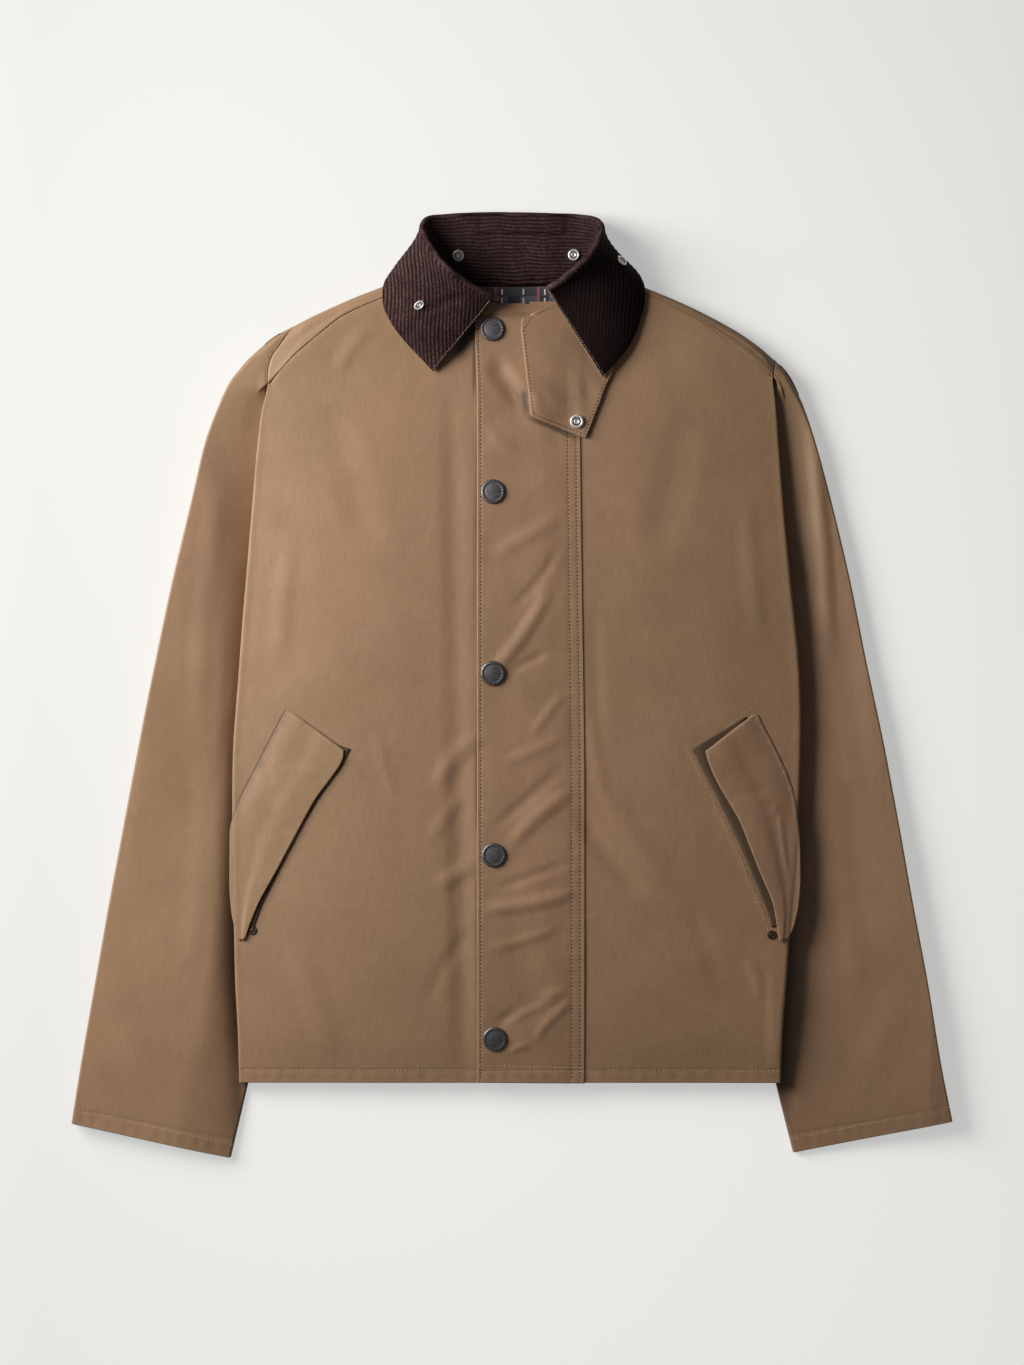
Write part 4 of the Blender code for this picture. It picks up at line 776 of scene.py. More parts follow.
# ------------------------------------------------------------------------------------------------
# Sleeves. Each is one tube of waxed cotton, sewn round the armhole and laid flat beside and partly
# under the body, with a turned and stitched cuff.
SLEEVE_OUTER = {
    # distance, y, from the shoulder to the cuff
    "right": (
        (183.4, 301.2), (197.0, 293.4), (210.5, 283.3), (222.3, 273.2), (230.7, 263.1), (238.3, 253.0),
        (247.5, 232.8), (258.5, 202.5), (269.4, 155.3), (285.4, 88.0), (299.7, 20.6), (313.2, -46.7),
        (325.8, -114.1), (338.4, -181.4), (350.2, -248.8), (362.0, -316.1), (370.4, -368.3),
    ),
    "left": (
        (220.4, 273.0), (229.0, 263.1), (235.7, 253.0), (245.8, 232.8), (255.9, 202.5), (268.6, 155.3),
        (284.6, 88.0), (298.0, 20.6), (312.3, -46.7), (325.0, -114.1), (336.8, -181.4), (349.4, -248.8),
        (360.3, -316.1), (370.4, -366.6),
    ),
}
SLEEVE_UNDER = 4.6
SLEEVE_EDGE_RADIUS = 3.0
SLEEVE_LENGTH = 640.0
SLEEVE_RINGS = np.concatenate([np.linspace(0.0, 0.96, 165), np.linspace(0.962, 0.998, 24), [0.9994, 1.0]])
OUTER_STEPS = (0.0, 1.4, 4.4, 9.5, 17.0)  # places of a ring's points, in from its outer edge
INNER_STEPS = (2.6, 0.8)  # and out from its inner edge
SLEEVE_RISE = {
    # y, how far from the body's edge a sleeve comes up to its full height, and how suddenly
    "right": (
        (-390.0, 58.0, 2.0), (-334.0, 52.0, 2.0), (-298.0, 38.0, 2.0), (-248.0, 27.0, 2.0),
        (-198.0, 20.0, 2.0), (-148.0, 17.0, 2.0), (-97.0, 17.0, 2.1), (4.0, 20.0, 2.2), (104.0, 32.0, 2.2),
        (160.0, 44.0, 2.2), (200.0, 60.0, 2.0), (260.0, 60.0, 2.0),
    ),
    "left": (
        (-390.0, 126.0, 1.5), (-248.0, 124.0, 1.5), (-150.0, 110.0, 1.3), (0.0, 95.0, 1.1),
        (100.0, 95.0, 1.0), (220.0, 60.0, 1.0), (260.0, 60.0, 1.0),
    ),
}
SLEEVE_TILT = {"right": 0.085, "left": 0.0}  # how much lower the top is for each mm in from the outer edge
SLEEVE_PILLOW = 2.4  # how far in from its outer edge a sleeve rounds over
SLEEVE_HEAD_HEIGHT = 15.6
CUFF_STITCH = 11.0
SLEEVE_FOLDS = (
    # columns as for the fronts' folds
    (252.0, 214.0, 266.0, 30.0, 10.0, 2.2, -2.0),
    (242.0, 150.0, 250.0, 30.0, 9.0, -0.9, 0.0),
    (282.0, 60.0, 300.0, -90.0, 14.0, -0.6, 3.0),
    (-246.0, 160.0, -262.0, -40.0, 14.0, 0.8, 4.0),
    (-256.0, -60.0, -272.0, -240.0, 16.0, 0.7, -4.0),
    (270.0, -60.0, 292.0, -260.0, 16.0, 0.7, 3.0),
    (-198.0, 278.4, -209.0, 277.9, 1.6, 0.2, 0.0),
    (-318.0, -40.0, -332.0, -160.0, 12.0, -0.5, 0.0),
    (-340.0, -240.0, -300.0, -360.0, 22.0, 0.6, 0.0),
    (330.0, -250.0, 290.0, -350.0, 22.0, 0.6, 0.0),
)
# Painted shade on the sleeves: y, how dark and how wide the painted shade beside the body's edge is, and
# broad painted shade on the wearer's right sleeve beside the chest.
BESIDE_BODY_PAINTED_SHADE = {
    "right": (
        (-390.0, 0.25, 16.0), (-334.0, 0.55, 16.0), (-300.0, 0.85, 16.0), (-248.0, 0.95, 15.0),
        (-190.0, 0.92, 13.0), (-150.0, 0.85, 11.0), (-90.0, 0.6, 10.0), (0.0, 0.35, 9.0),
        (104.0, 0.18, 12.0), (180.0, 0.0, 12.0),
    ),
    "left": (
        (-390.0, 0.4, 14.0), (-334.0, 0.7, 16.0), (-248.0, 0.7, 15.0), (-150.0, 0.4, 12.0),
        (-60.0, 0.0, 12.0),
    ),
}
SLEEVE_PAINTED_SHADE = (
    (-250.0, 150.0, -270.0, 30.0, 26.0, 0.13, 0.0),
    (-258.0, 226.0, -236.0, 120.0, 16.0, 0.10, 0.0),
)


def distance_to(path, x, y):
    """The shortest distance in plan from points to a path."""
    points = refine(path, 3)
    nearest = np.full(np.broadcast(x, y).shape, 1e9)
    for start, end in zip(points[:-1], points[1:]):
        run = end - start
        share = np.clip(((x - start[0]) * run[0] + (y - start[1]) * run[1]) / (run @ run), 0.0, 1.0)
        away_x, away_y = x - start[0] - run[0] * share, y - start[1] - run[1] * share
        nearest = np.minimum(nearest, np.hypot(away_x, away_y))
    return nearest


def under_body(y):
    """A sleeve's top where it lies under the body, a little lower beside the chest."""
    return lying_height(y) - 0.3 * ease((y - 120.0) / 60.0)


def sleeve_height(side, distance, y, pillow):
    """A sleeve's upper surface, low under the body and full where it lies free."""
    under = blend(under_body(y), SLEEVE_HEAD_HEIGHT, ease((y - 236.0) / 22.0))
    outward = distance - smooth(SIDE_EDGE[side], y)
    free = np.clip((outward + 1.0) / smooth(SLEEVE_RISE[side], y), 0.0, 1.0)
    power = smooth(SLEEVE_RISE[side], y, 2)
    free = 1.0 - (1.0 - free) ** power if side == "right" else free**power
    to_outer = distance_to(SLEEVE_OUTER[side], distance, y)
    tilt = SLEEVE_TILT[side] * np.minimum(to_outer, 70.0)
    tilt = tilt * ease((y + 260.0) / 200.0) * ease((240.0 - y) / 70.0)
    full = blend(under, smooth(HEIGHTS, y, 4) - tilt, free)
    x = SIDE_SIGN[side] * distance
    full = full + (folds(SLEEVE_FOLDS, x, y) + ripple(x, y, 0.5)) * ease((outward - 2.0) / 14.0)
    from_outer = np.minimum(to_outer / pillow, 1.0)
    height = blend(SLEEVE_EDGE_RADIUS, full, (1.0 - (1.0 - from_outer) ** 3) ** (1.0 / 3.0))
    inner_radius = SLEEVE_UNDER / 2.0
    from_inner = np.minimum(distance_to(SLEEVE_INNER[side], distance, y) / inner_radius, 1.0)
    return blend(inner_radius, height, np.sqrt(1.0 - (1.0 - from_inner) ** 2))


for side in SIDE_SIGN:
    over = [(x + SEAM_GAP + 0.3, y, z) for x, y, z in SHOULDER_ARMHOLE[side][2:]]
    hidden = [(distance + SEAM_GAP, y, float(under_body(y))) for y, distance in FRONT_ARMHOLE[side]]
    under = [(UNDERARM_X + 0.6 + SEAM_GAP, UNDERARM_Y, SLEEVE_UNDER / 2.0)]
    under += [(distance + SEAM_GAP, y, 0.0) for y, distance in BACK_ARMHOLE[side]]
    under += [(x + SEAM_GAP, y, z) for x, y, z in SHOULDER_ARMHOLE[side][:2]]
    loop = np.array(over + hidden + under)
    top_count = len(over) + len(hidden) + 1
    under_count = len(loop) - top_count
    # Six more points between each two of the armhole's on top, and one more between each two under it.
    on_front = np.arange(0.0, top_count - 1, 1.0 / 7.0)
    fine_index = np.concatenate([on_front, np.arange(top_count - 1.0, len(loop), 0.5)])
    closed_loop = np.concatenate([loop, loop[:1]])
    fine_loop = refine(closed_loop, 14)[np.round(fine_index * 14).astype(int)]
    on_top = fine_index < top_count - 1 - 1e-6
    from_edge = np.minimum(fine_index, len(loop) - fine_index)
    fade = blend(0.09, 0.42, ease((from_edge - 3.0) / 7.0))
    rings = []
    for reached in SLEEVE_RINGS:
        outer = along(SLEEVE_OUTER[side], reached)
        inner = along(SLEEVE_INNER[side], 0.12 * reached + 0.88 * reached**2.4)
        length = np.linalg.norm(inner - outer)
        inner_steps = [length - step for step in INNER_STEPS]
        steps = [*OUTER_STEPS, *np.linspace(OUTER_STEPS[-1], inner_steps[0], top_count - 6)[1:-1]]
        steps += [*inner_steps, length, *inner_steps[::-1]]
        steps += [*np.linspace(inner_steps[0], SLEEVE_EDGE_RADIUS, under_count - 2)[1:], 0.9, 0.0]
        fine_steps = np.interp(fine_index, np.arange(len(loop) + 1), steps)
        plan = outer + (inner - outer) * (fine_steps / length)[:, None]
        # The rings near the armhole are pulled onto its seam.
        if not rings:
            start_plan = plan
        hold = (1.0 - ease(reached / fade)) ** 1.3
        plan = plan + (fine_loop[:, :2] - start_plan) * hold[:, None]
        pillow = blend(6.0, SLEEVE_PILLOW, ease(reached / 0.14))
        top_z = sleeve_height(side, plan[:, 0], plan[:, 1], pillow)
        outer_z = blend(SHOULDER_FOLD_RADIUS, SLEEVE_EDGE_RADIUS, ease(reached / 0.12))
        near_edge = np.clip(fine_steps / 1.4, 0.0, 1.0)
        top_z = np.maximum(top_z, blend(outer_z, top_z, np.sqrt(near_edge)))
        low = len(loop)
        low_z = np.interp(
            fine_index, (top_count - 1, top_count, top_count + 1, low - 2, low - 1, low),
            (SLEEVE_UNDER / 2.0, 0.7, 0.0, 0.0, 0.9, outer_z),
        )
        z = np.where(on_top, top_z, low_z)
        z = blend(fine_loop[:, 2], z, ease(reached / 0.02))
        z = z - 0.35 * math.exp(-reached / 0.003)
        along_cuff = np.linalg.norm(plan - outer, axis=1)
        above_cuff = (1.0 - reached) * SLEEVE_LENGTH
        turn = 0.14 * np.sin(along_cuff / 2.0 + np.sin(along_cuff / 15.0))
        turn = turn * np.exp(-((above_cuff - 6.0) / 5.0) ** 2)
        valley = STITCH_GROOVE * np.exp(-((above_cuff - CUFF_STITCH) / 1.1) ** 2)
        z = z + np.where(on_top, (turn - valley) * np.clip(fine_steps / 12.0, 0.0, 1.0), 0.0)
        rings.append(np.column_stack([plan, z]))
    grid = np.array(rings) * np.array([SIDE_SIGN[side], 1.0, 1.0])
    sleeve_x, sleeve_y = grid[:, :, 0].reshape(-1), grid[:, :, 1].reshape(-1)
    outward = np.abs(sleeve_x) - smooth(SIDE_EDGE[side], sleeve_y)
    # Painted shade beside the body's edge and on the upper sleeve, kept as a mark on the cloth.
    shade = BESIDE_BODY_PAINTED_SHADE[side]
    beside = smooth(shade, sleeve_y) * (1.0 - ease(outward / smooth(shade, sleeve_y, 2)))
    dark = painted_shade_of(SLEEVE_PAINTED_SHADE, sleeve_x, sleeve_y)
    sleeve = sew(
        f"sleeve_{side}_cloth", grid.reshape(-1, 3), grid_quads(*grid.shape[:2], closed=True), CLOTH,
        cut_lengths(grid), flip=side == "right", marks={"painted_shade": np.clip(beside + dark, 0.0, 0.97)},
    )
    sleeve.data.materials.append(body_cloth)
    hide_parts("sleeve_" + side)
    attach(sleeve, "root")

# ------------------------------------------------------------------------------------------------
# Storm flap. A doubled strip sewn to the wearer's left front and snapped over the opening, with one
# row of stitches along its free edge and two along its sewn edge. It folds in under the collar.
FLAP_CLOTH, LAID_GAP = 1.6, 0.5
STORM_FLAP_LEFT_X, STORM_FLAP_RIGHT_X = -28.6, 59.4
STORM_FLAP_TOP_Y = 321.0
STORM_FLAP_SHORT = 0.3
STORM_FLAP_LOOSE = 30.0
FREE_EDGE_STITCH = -26.4
SEWN_EDGE_STITCHES = (48.4, 55.6)
NECK_FOLD_Y = 309.5
FLAP_FOLDS = (
    # columns as for the fronts' folds
    (-17.0, 9.0, 30.0, 77.0, 9.0, 1.6, 3.0),
    (0.0, 12.0, 28.0, 26.0, 6.0, -1.0, 0.0),
    (-1.0, -134.0, 51.0, -88.0, 10.0, 1.5, -3.0),
    (-28.0, -188.0, 54.0, -173.0, 9.0, 1.6, 3.0),
    (-1.0, -278.0, 42.0, -256.0, 9.0, 1.3, 0.0),
    (-15.0, 270.0, 13.0, 232.0, 13.0, -2.7, 2.0),
    (-14.0, 108.0, 40.0, 140.0, 10.0, 0.9, 0.0),
    (2.0, 66.0, 38.0, 112.0, 7.0, -0.8, 3.0),
    (-12.0, -118.0, 40.0, -72.0, 8.0, -0.9, 0.0),
    (-10.0, -170.0, 44.0, -150.0, 7.0, -0.9, 0.0),
    (-18.0, -220.0, 36.0, -204.0, 7.0, 0.8, 2.0),
    (-12.0, -284.0, 30.0, -262.0, 7.0, -1.3, -2.0),
    (-2.0, -308.0, 14.0, -302.0, 5.0, 0.8, -1.0),
    (20.0, -296.0, 50.0, -264.0, 6.0, 0.9, -2.0),
    (-20.0, 210.0, 26.0, 186.0, 11.0, 0.8, 3.0),
    (-22.0, 252.0, 24.0, 214.0, 12.0, -0.7, 4.0),
    (18.0, -40.0, 42.0, -8.0, 7.0, 0.8, 0.0),
    (-6.0, -66.0, 40.0, -46.0, 8.0, 0.7, 0.0),
)

# Painted shade: a painted shadow under the throat latch's edge and its corner, and under the collar's leaf.
FLAP_PAINTED_SHADE = (
    (12.0, 224.0, 56.0, 205.6, 3.6, 0.9, 0.0),
    (9.5, 246.0, 12.4, 226.0, 4.6, 0.75, 0.0),
    (-27.0, 322.0, -27.0, 306.0, 6.0, 0.8, 0.0),
)


def flap_lean(x, y):
    """How far the storm flap's edges lean off straight lines."""
    sewn = ease((x - 20.0) / 35.0) * (1.2 - 3.6 * ease((y + 120.0) / 360.0))
    return sewn - 2.0 * ease((-10.0 - x) / 15.0) * ease((y - 240.0) / 60.0)


def front_top(x, y):
    """The outer surface of whichever front lies at x."""
    share = ease((x - 9.0) / 9.0)
    right = front_height("right", -x, y)
    left = front_height("left", x, y)
    return blend(right, left, share)


def storm_flap_top(x, y):
    """The storm flap's outer surface."""
    laid_x, x = x, x - flap_lean(x, y)
    loose = np.maximum(0.0, 1.0 - (x - STORM_FLAP_LEFT_X) / STORM_FLAP_LOOSE)
    wave = np.maximum(0.0, 0.6 + 0.5 * np.sin(y / 43.0) + 0.35 * np.sin(y / 19.0 + 1.0))
    level = front_top(laid_x, y) + LAID_GAP + FLAP_CLOTH + 0.3 + wave * loose
    held = ease((x - STORM_FLAP_LEFT_X) / 14.0) * ease((STORM_FLAP_RIGHT_X - 8.0 - x) / 12.0)
    level = level + folds(FLAP_FOLDS, x, y) * blend(0.35, 1.0, held)
    level = level + ripple(x * 1.7 + 60.0, y * 1.7, 0.5) * held
    for row, depth in ((FREE_EDGE_STITCH, 0.22), *((place, 0.18) for place in SEWN_EDGE_STITCHES)):
        level = level - depth * np.exp(-((x - row) / 0.9) ** 2)
    gather = np.exp(-((x - SEWN_EDGE_STITCHES[0] - 3.0) / 6.0) ** 2)
    gather = gather + np.exp(-((x - FREE_EDGE_STITCH - 1.0) / 3.0) ** 2)
    level = level + 0.14 * np.sin(y / 1.9 + 1.6 * np.sin(y / 13.0)) * gather
    neck_fold = 1.7 * np.exp(-((y - NECK_FOLD_Y + 0.02 * x) / 1.3) ** 2)
    level = level - neck_fold * ease((x + 26.0) / 8.0) * ease((20.0 - x) / 6.0)
    level = level - STITCH_GROOVE * np.exp(-((y - HEM_Y - HEM_STITCH - 3.0) / 1.0) ** 2)
    return level - 3.0 * ease((y - 312.0) / 9.0) - 1.5 * ease((x - 22.0) / 36.0)


flap_xs = np.concatenate([
    [-28.6, -28.3, -27.6, -26.9, -26.4, -25.9, -25.2, -24.0], np.arange(-22.0, 46.0, 2.0),
    [47.2, 48.2, 48.8, 49.2, 49.7, 50.6, 52.0, 53.4, 54.6, 55.2, 55.6, 56.0, 56.8, 57.6, 58.3, 58.9, 59.4],
])
flap_bottom = HEM_Y + STORM_FLAP_SHORT
flap_ys = np.concatenate([
    [0.0, 0.4, 2.0, 4.0, 6.0, 8.0, 9.3, 10.1, 10.5, 10.9, 11.8, 13.0], np.arange(15.0, 634.0, 2.0),
    np.arange(634.0, 651.5, 0.9),
]) + flap_bottom
flap_x, flap_rise = np.meshgrid(flap_xs, (flap_ys - flap_bottom) / (flap_ys[-1] - flap_bottom))
flap_y = flap_bottom + flap_rise * (STORM_FLAP_TOP_Y - 2.5 + 0.03 * np.abs(flap_x) - flap_bottom)
flap_y = flap_y - 0.8 * ease((flap_x + 20.0) / 90.0) * ease((flap_bottom + 60.0 - flap_y) / 60.0)
flap_x = flap_x + flap_lean(flap_x, flap_y)
flap_grid = np.stack([flap_x, flap_y, storm_flap_top(flap_x, flap_y)], axis=-1)
storm_flap = sew(
    "storm_flap_cloth", flap_grid.reshape(-1, 3), grid_quads(*flap_grid.shape[:2]), FLAP_CLOTH,
    cut_lengths(flap_grid), marks={"painted_shade": painted_shade_of(FLAP_PAINTED_SHADE, flap_x, flap_y)},
)
storm_flap.data.materials.append(body_cloth)
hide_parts("storm_flap")
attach(storm_flap, "root")

# ------------------------------------------------------------------------------------------------
# Pockets. A slanted mouth in each front with a dark facing in it, and a flap that is sewn down along
# its outer edge and its top and lifts at its free edge.
FACING_CLOTH = 0.9
POCKET_FLAP_CLOTH, POCKET_GAP = 1.5, 0.2
POCKET_FLAP = {
    # outer distance, outer y, free distance, free y, lift of the free edge
    "right": (
        (189.6, -19.0, 140.7, -55.0, 0.2), (197.0, -33.0, 142.6, -64.5, 0.3),
        (206.5, -51.5, 151.5, -78.0, 0.0), (217.5, -73.0, 164.2, -95.0, 0.0),
        (228.9, -95.5, 176.6, -117.0, 0.0), (235.4, -118.0, 187.6, -137.5, 0.3),
        (236.2, -146.0, 199.8, -160.0, 0.6), (236.0, -176.0, 211.3, -180.5, 0.8),
        (233.2, -200.0, 219.4, -199.5, 0.6), (229.0, -214.0, 224.2, -213.0, 0.2),
    ),
    "left": (
        (205.0, -22.4, 162.1, -56.0, 1.0), (211.0, -34.5, 165.4, -67.0, 1.6),
        (219.5, -50.5, 172.5, -82.5, 1.6), (230.0, -72.5, 183.0, -100.5, 1.8),
        (236.4, -92.0, 191.2, -115.0, 2.0), (239.8, -118.0, 199.5, -136.0, 2.0),
        (241.2, -145.0, 208.3, -158.0, 1.8), (240.8, -175.0, 218.0, -181.0, 1.4),
        (237.2, -197.0, 221.6, -198.0, 0.8), (231.5, -212.0, 224.0, -215.0, 0.3),
    ),
}
POCKET_FACING = {
    # mouth distance, mouth y, hidden distance, hidden y
    "right": (
        (135.6, -54.0, 146.0, -50.6), (143.8, -70.2, 154.0, -66.0), (158.2, -89.4, 168.0, -86.0),
        (173.2, -113.8, 183.0, -110.0), (185.2, -134.2, 195.0, -130.0), (198.1, -161.4, 207.0, -157.0),
        (209.1, -183.4, 216.0, -180.0), (215.0, -199.0, 220.0, -197.0), (215.9, -202.6, 220.6, -200.6),
    ),
    "left": (
        (150.5, -54.0, 196.0, -27.0), (154.0, -60.0, 195.0, -37.0), (159.2, -70.8, 188.0, -62.0),
        (169.3, -89.6, 192.0, -84.0), (188.0, -128.4, 208.0, -122.0), (202.4, -161.6, 217.0, -156.0),
        (214.6, -192.0, 222.0, -189.0), (217.6, -203.0, 221.4, -202.0),
    ),
}
POCKET_MARKS = {
    # columns as for the fronts' folds
    "right": (
        (-192.0, -31.0, -170.0, -44.0, 2.6, -0.5, 0.0), (-208.0, -64.0, -200.0, -84.0, 6.0, -0.5, 1.0),
        (-204.0, -106.0, -186.0, -124.0, 7.0, -0.6, 2.0), (-212.0, -166.0, -200.0, -172.0, 5.0, 0.4, 0.0),
        (-190.0, -70.0, -160.0, -76.0, 7.0, 0.4, 0.0),
    ),
    "left": (
        (224.0, -104.0, 231.0, -160.0, 4.0, 0.6, 1.0), (222.0, -100.0, 219.0, -108.0, 4.0, 0.5, 0.0),
        (186.0, -92.0, 214.0, -88.0, 8.0, -0.35, 0.0), (200.0, -120.0, 222.0, -124.0, 8.0, 0.35, 0.0),
    ),
}


def inside_front(side, x, y):
    """A front's outer surface at points given by distance, held off the side fold's turn."""
    radius, edge = fold_radius(side, y), smooth(SIDE_EDGE[side], y)
    level = front_height(side, x, y)
    past = np.clip((x - (edge - radius)) / radius, 0.0, 1.0)
    return level - 0.11 * radius * past**4


FACING_COLOURS = (0.088, 0.050, 0.026), (0.056, 0.033, 0.018), (0.12, 0.078, 0.046)
dark_cotton = waxed_cloth("dark_cotton", *FACING_COLOURS, 0.3)
for side in SIDE_SIGN:
    facing = refine(np.array(POCKET_FACING[side]), 6)
    widths = np.linspace(0.0, 1.0, 7)
    x = blend(facing[:, :1], facing[:, 2:3], widths)
    y = blend(facing[:, 1:2], facing[:, 3:4], widths)
    z = inside_front(side, x, y) + POCKET_GAP + FACING_CLOTH
    grid = np.stack([x * SIDE_SIGN[side], y, z], axis=-1)
    piece = sew(
        f"pocket_facing_{side}_cloth", grid.reshape(-1, 3), grid_quads(*grid.shape[:2]), FACING_CLOTH,
        cut_lengths(grid), flip=side == "left",
    )
    piece.data.materials.append(dark_cotton)
    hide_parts("pocket_facing_" + side)
    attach(piece, "root")

    shape = refine(np.array(POCKET_FLAP[side]), 9)
    widths = np.concatenate([[0.0, 0.012, 0.03], np.linspace(0.06, 0.9, 22), [0.94, 0.965, 0.985, 1.0]])
    x = blend(shape[:, :1], shape[:, 2:3], widths)
    y = blend(shape[:, 1:2], shape[:, 3:4], widths)
    base = inside_front(side, x, y) + 2.0 * POCKET_GAP + FACING_CLOTH * ease((widths - 0.45) / 0.25)
    lifted = base + shape[:, 4:5] * ease(widths)
    down = np.linspace(0.0, 1.0, len(shape))[:, None]
    held = ease(widths / 0.15) * ease((1.0 - widths) / 0.12) * ease(down / 0.06) * ease((1.0 - down) / 0.1)
    z = lifted + POCKET_FLAP_CLOTH + folds(POCKET_MARKS[side], x * SIDE_SIGN[side], y) * blend(0.3, 1.0, held)
    sewn_down = ease((0.62 - down) / 0.2)
    top_turn = 0.7 * np.exp(-down * len(POCKET_FLAP[side]) / 0.12) * (1.0 - widths)
    z = z - 1.75 * np.exp(-((widths / 0.17) ** 2)) * sewn_down - top_turn
    row_number = np.arange(1.0, len(shape) + 1.0)[:, None]
    gathered = ease((0.1 - widths) / 0.1) + ease((widths - 0.92) / 0.05)
    z = z + 0.10 * np.sin(row_number * 0.9 + x / 6.0) * gathered
    # A painted shadow line along the flap's sewn outer edge.
    sewn_edge_painted_shadow = 0.95 * np.exp(-((widths / 0.02) ** 2)) * sewn_down
    grid = np.stack([x * SIDE_SIGN[side], y, z], axis=-1)
    piece = sew(
        f"pocket_flap_{side}_cloth", grid.reshape(-1, 3), grid_quads(*grid.shape[:2]), POCKET_FLAP_CLOTH,
        cut_lengths(grid), flip=side == "right", marks={"painted_shade": (sewn_edge_painted_shadow * np.ones_like(z)).reshape(-1)},
    )
    piece.data.materials.append(body_cloth)
    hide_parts("pocket_flap_" + side)
    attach(piece, "root")

# ------------------------------------------------------------------------------------------------
# Throat latch. A doubled tab from under the collar, laid across the storm flap, with a slanted free
# end, a row of stitches near its edge and a press stud in its lower corner.
LATCH_CLOTH = 1.8
THROAT_LATCH = (
    # left edge x, y and right edge x, y, from the free end up
    (16.2, 224.4, 61.3, 206.5), (14.9, 235.0, 66.0, 218.0), (13.4, 250.0, 72.6, 235.0),
    (11.6, 266.0, 78.2, 250.0), (9.8, 282.0, 83.4, 261.0), (8.2, 296.0, 84.6, 272.0),
    (9.0, 306.0, 80.0, 284.0), (14.3, 308.7, 74.0, 294.0), (22.5, 313.0, 67.0, 303.0),
    (31.9, 317.6, 60.0, 312.0),
)
LATCH_MARKS = (
    # columns as for the fronts' folds
    (58.0, 214.0, 52.0, 262.0, 9.0, 0.7, 2.0),
    (30.0, 226.0, 22.0, 268.0, 9.0, -0.5, 0.0),
    (20.0, 262.0, 34.0, 236.0, 7.0, 0.5, 0.0),
    (66.0, 240.0, 60.0, 276.0, 8.0, -0.6, 0.0),
)
# Painted shade on the latch: beside the collar's leaf, faintly across its middle and near the stud.
LATCH_PAINTED_SHADE = (
    (50.0, 296.0, 76.0, 246.0, 11.0, 0.35, 0.0), (30.0, 300.0, 46.0, 226.0, 30.0, 0.16, 0.0),
    (62.0, 246.0, 52.0, 232.0, 12.0, 0.10, 0.0),
)
latch_rows = refine(np.array(THROAT_LATCH), 12)
first_rows = blend(latch_rows[0], latch_rows[1], np.array([[0.0], [0.25]]))
latch_rows = np.concatenate([first_rows, latch_rows[1:]])
widths = np.concatenate([[0.0, 0.006, 0.02, 0.035], np.linspace(0.06, 0.94, 26), [0.965, 0.98, 0.994, 1.0]])
x = blend(latch_rows[:, :1], latch_rows[:, 2:3], widths)
y = blend(latch_rows[:, 1:2], latch_rows[:, 3:4], widths)
beyond = ease((x - STORM_FLAP_RIGHT_X + 1.0) / 10.0)
over_flap, over_front = storm_flap_top(np.minimum(x, 57.0), y), front_height("left", x, y) + 0.9
z = blend(over_flap, over_front, beyond) + 0.3 + LAID_GAP + LATCH_CLOTH
down = np.linspace(0.0, 1.0, len(latch_rows))[:, None]
held = ease(widths / 0.12) * ease((1.0 - widths) / 0.12) * ease(down / 0.15)
z = z + folds(LATCH_MARKS, x, y) * held + 3.4 * ease((50.0 - x) / 34.0) * ease((264.0 - y) / 42.0)
grid = np.stack([x, y, z], axis=-1)
throat_latch = sew(
    "throat_latch_cloth", grid.reshape(-1, 3), grid_quads(*grid.shape[:2]), LATCH_CLOTH,
    cut_lengths(grid), marks={"painted_shade": painted_shade_of(LATCH_PAINTED_SHADE, x, y)},
)
throat_latch.data.materials.append(body_cloth)
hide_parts("throat_latch")
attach(throat_latch, "root")

# ------------------------------------------------------------------------------------------------
# Neck lining. The strip of brushed check that shows inside the neck: a slate ground with broken
# white lines and soft red bars, woven straight with the cloth and sewn to the back.
LINING_CLOTH = 1.0
LINING_HALF, LINING_BOTTOM_Y, LINING_TOP_Y = 56.0, 292.0, 334.6
LINING_GROUND, BAR_DARK, BAR_GREY = (0.115, 0.105, 0.135), (0.040, 0.036, 0.046), (0.062, 0.054, 0.066)
BAR_RED, LINE_WHITE = (0.36, 0.11, 0.13), (0.80, 0.78, 0.76)
lining_x, lining_y = np.meshgrid(
    np.linspace(-LINING_HALF, LINING_HALF, 57), np.linspace(LINING_BOTTOM_Y, LINING_TOP_Y, 22),
)
level = CLOTH + SEAM_GAP + LINING_CLOTH + 0.25 * np.sin(lining_x / 9.0) * np.sin(lining_y / 7.0) + 0.25
grid = np.stack([lining_x, lining_y, level], axis=-1)
neck_lining = sew(
    "neck_lining_cloth", grid.reshape(-1, 3), grid_quads(*grid.shape[:2]), LINING_CLOTH, cut_lengths(grid),
)


def bars(tree, source, pitch, width, shift):
    """1 on bars of a width that repeat at a pitch, in metres, and 0 between them."""
    moved = reckon(tree, "ADD", source, 10.0 * pitch + shift)
    return reckon(tree, "LESS_THAN", reckon(tree, "MODULO", moved, pitch), width)


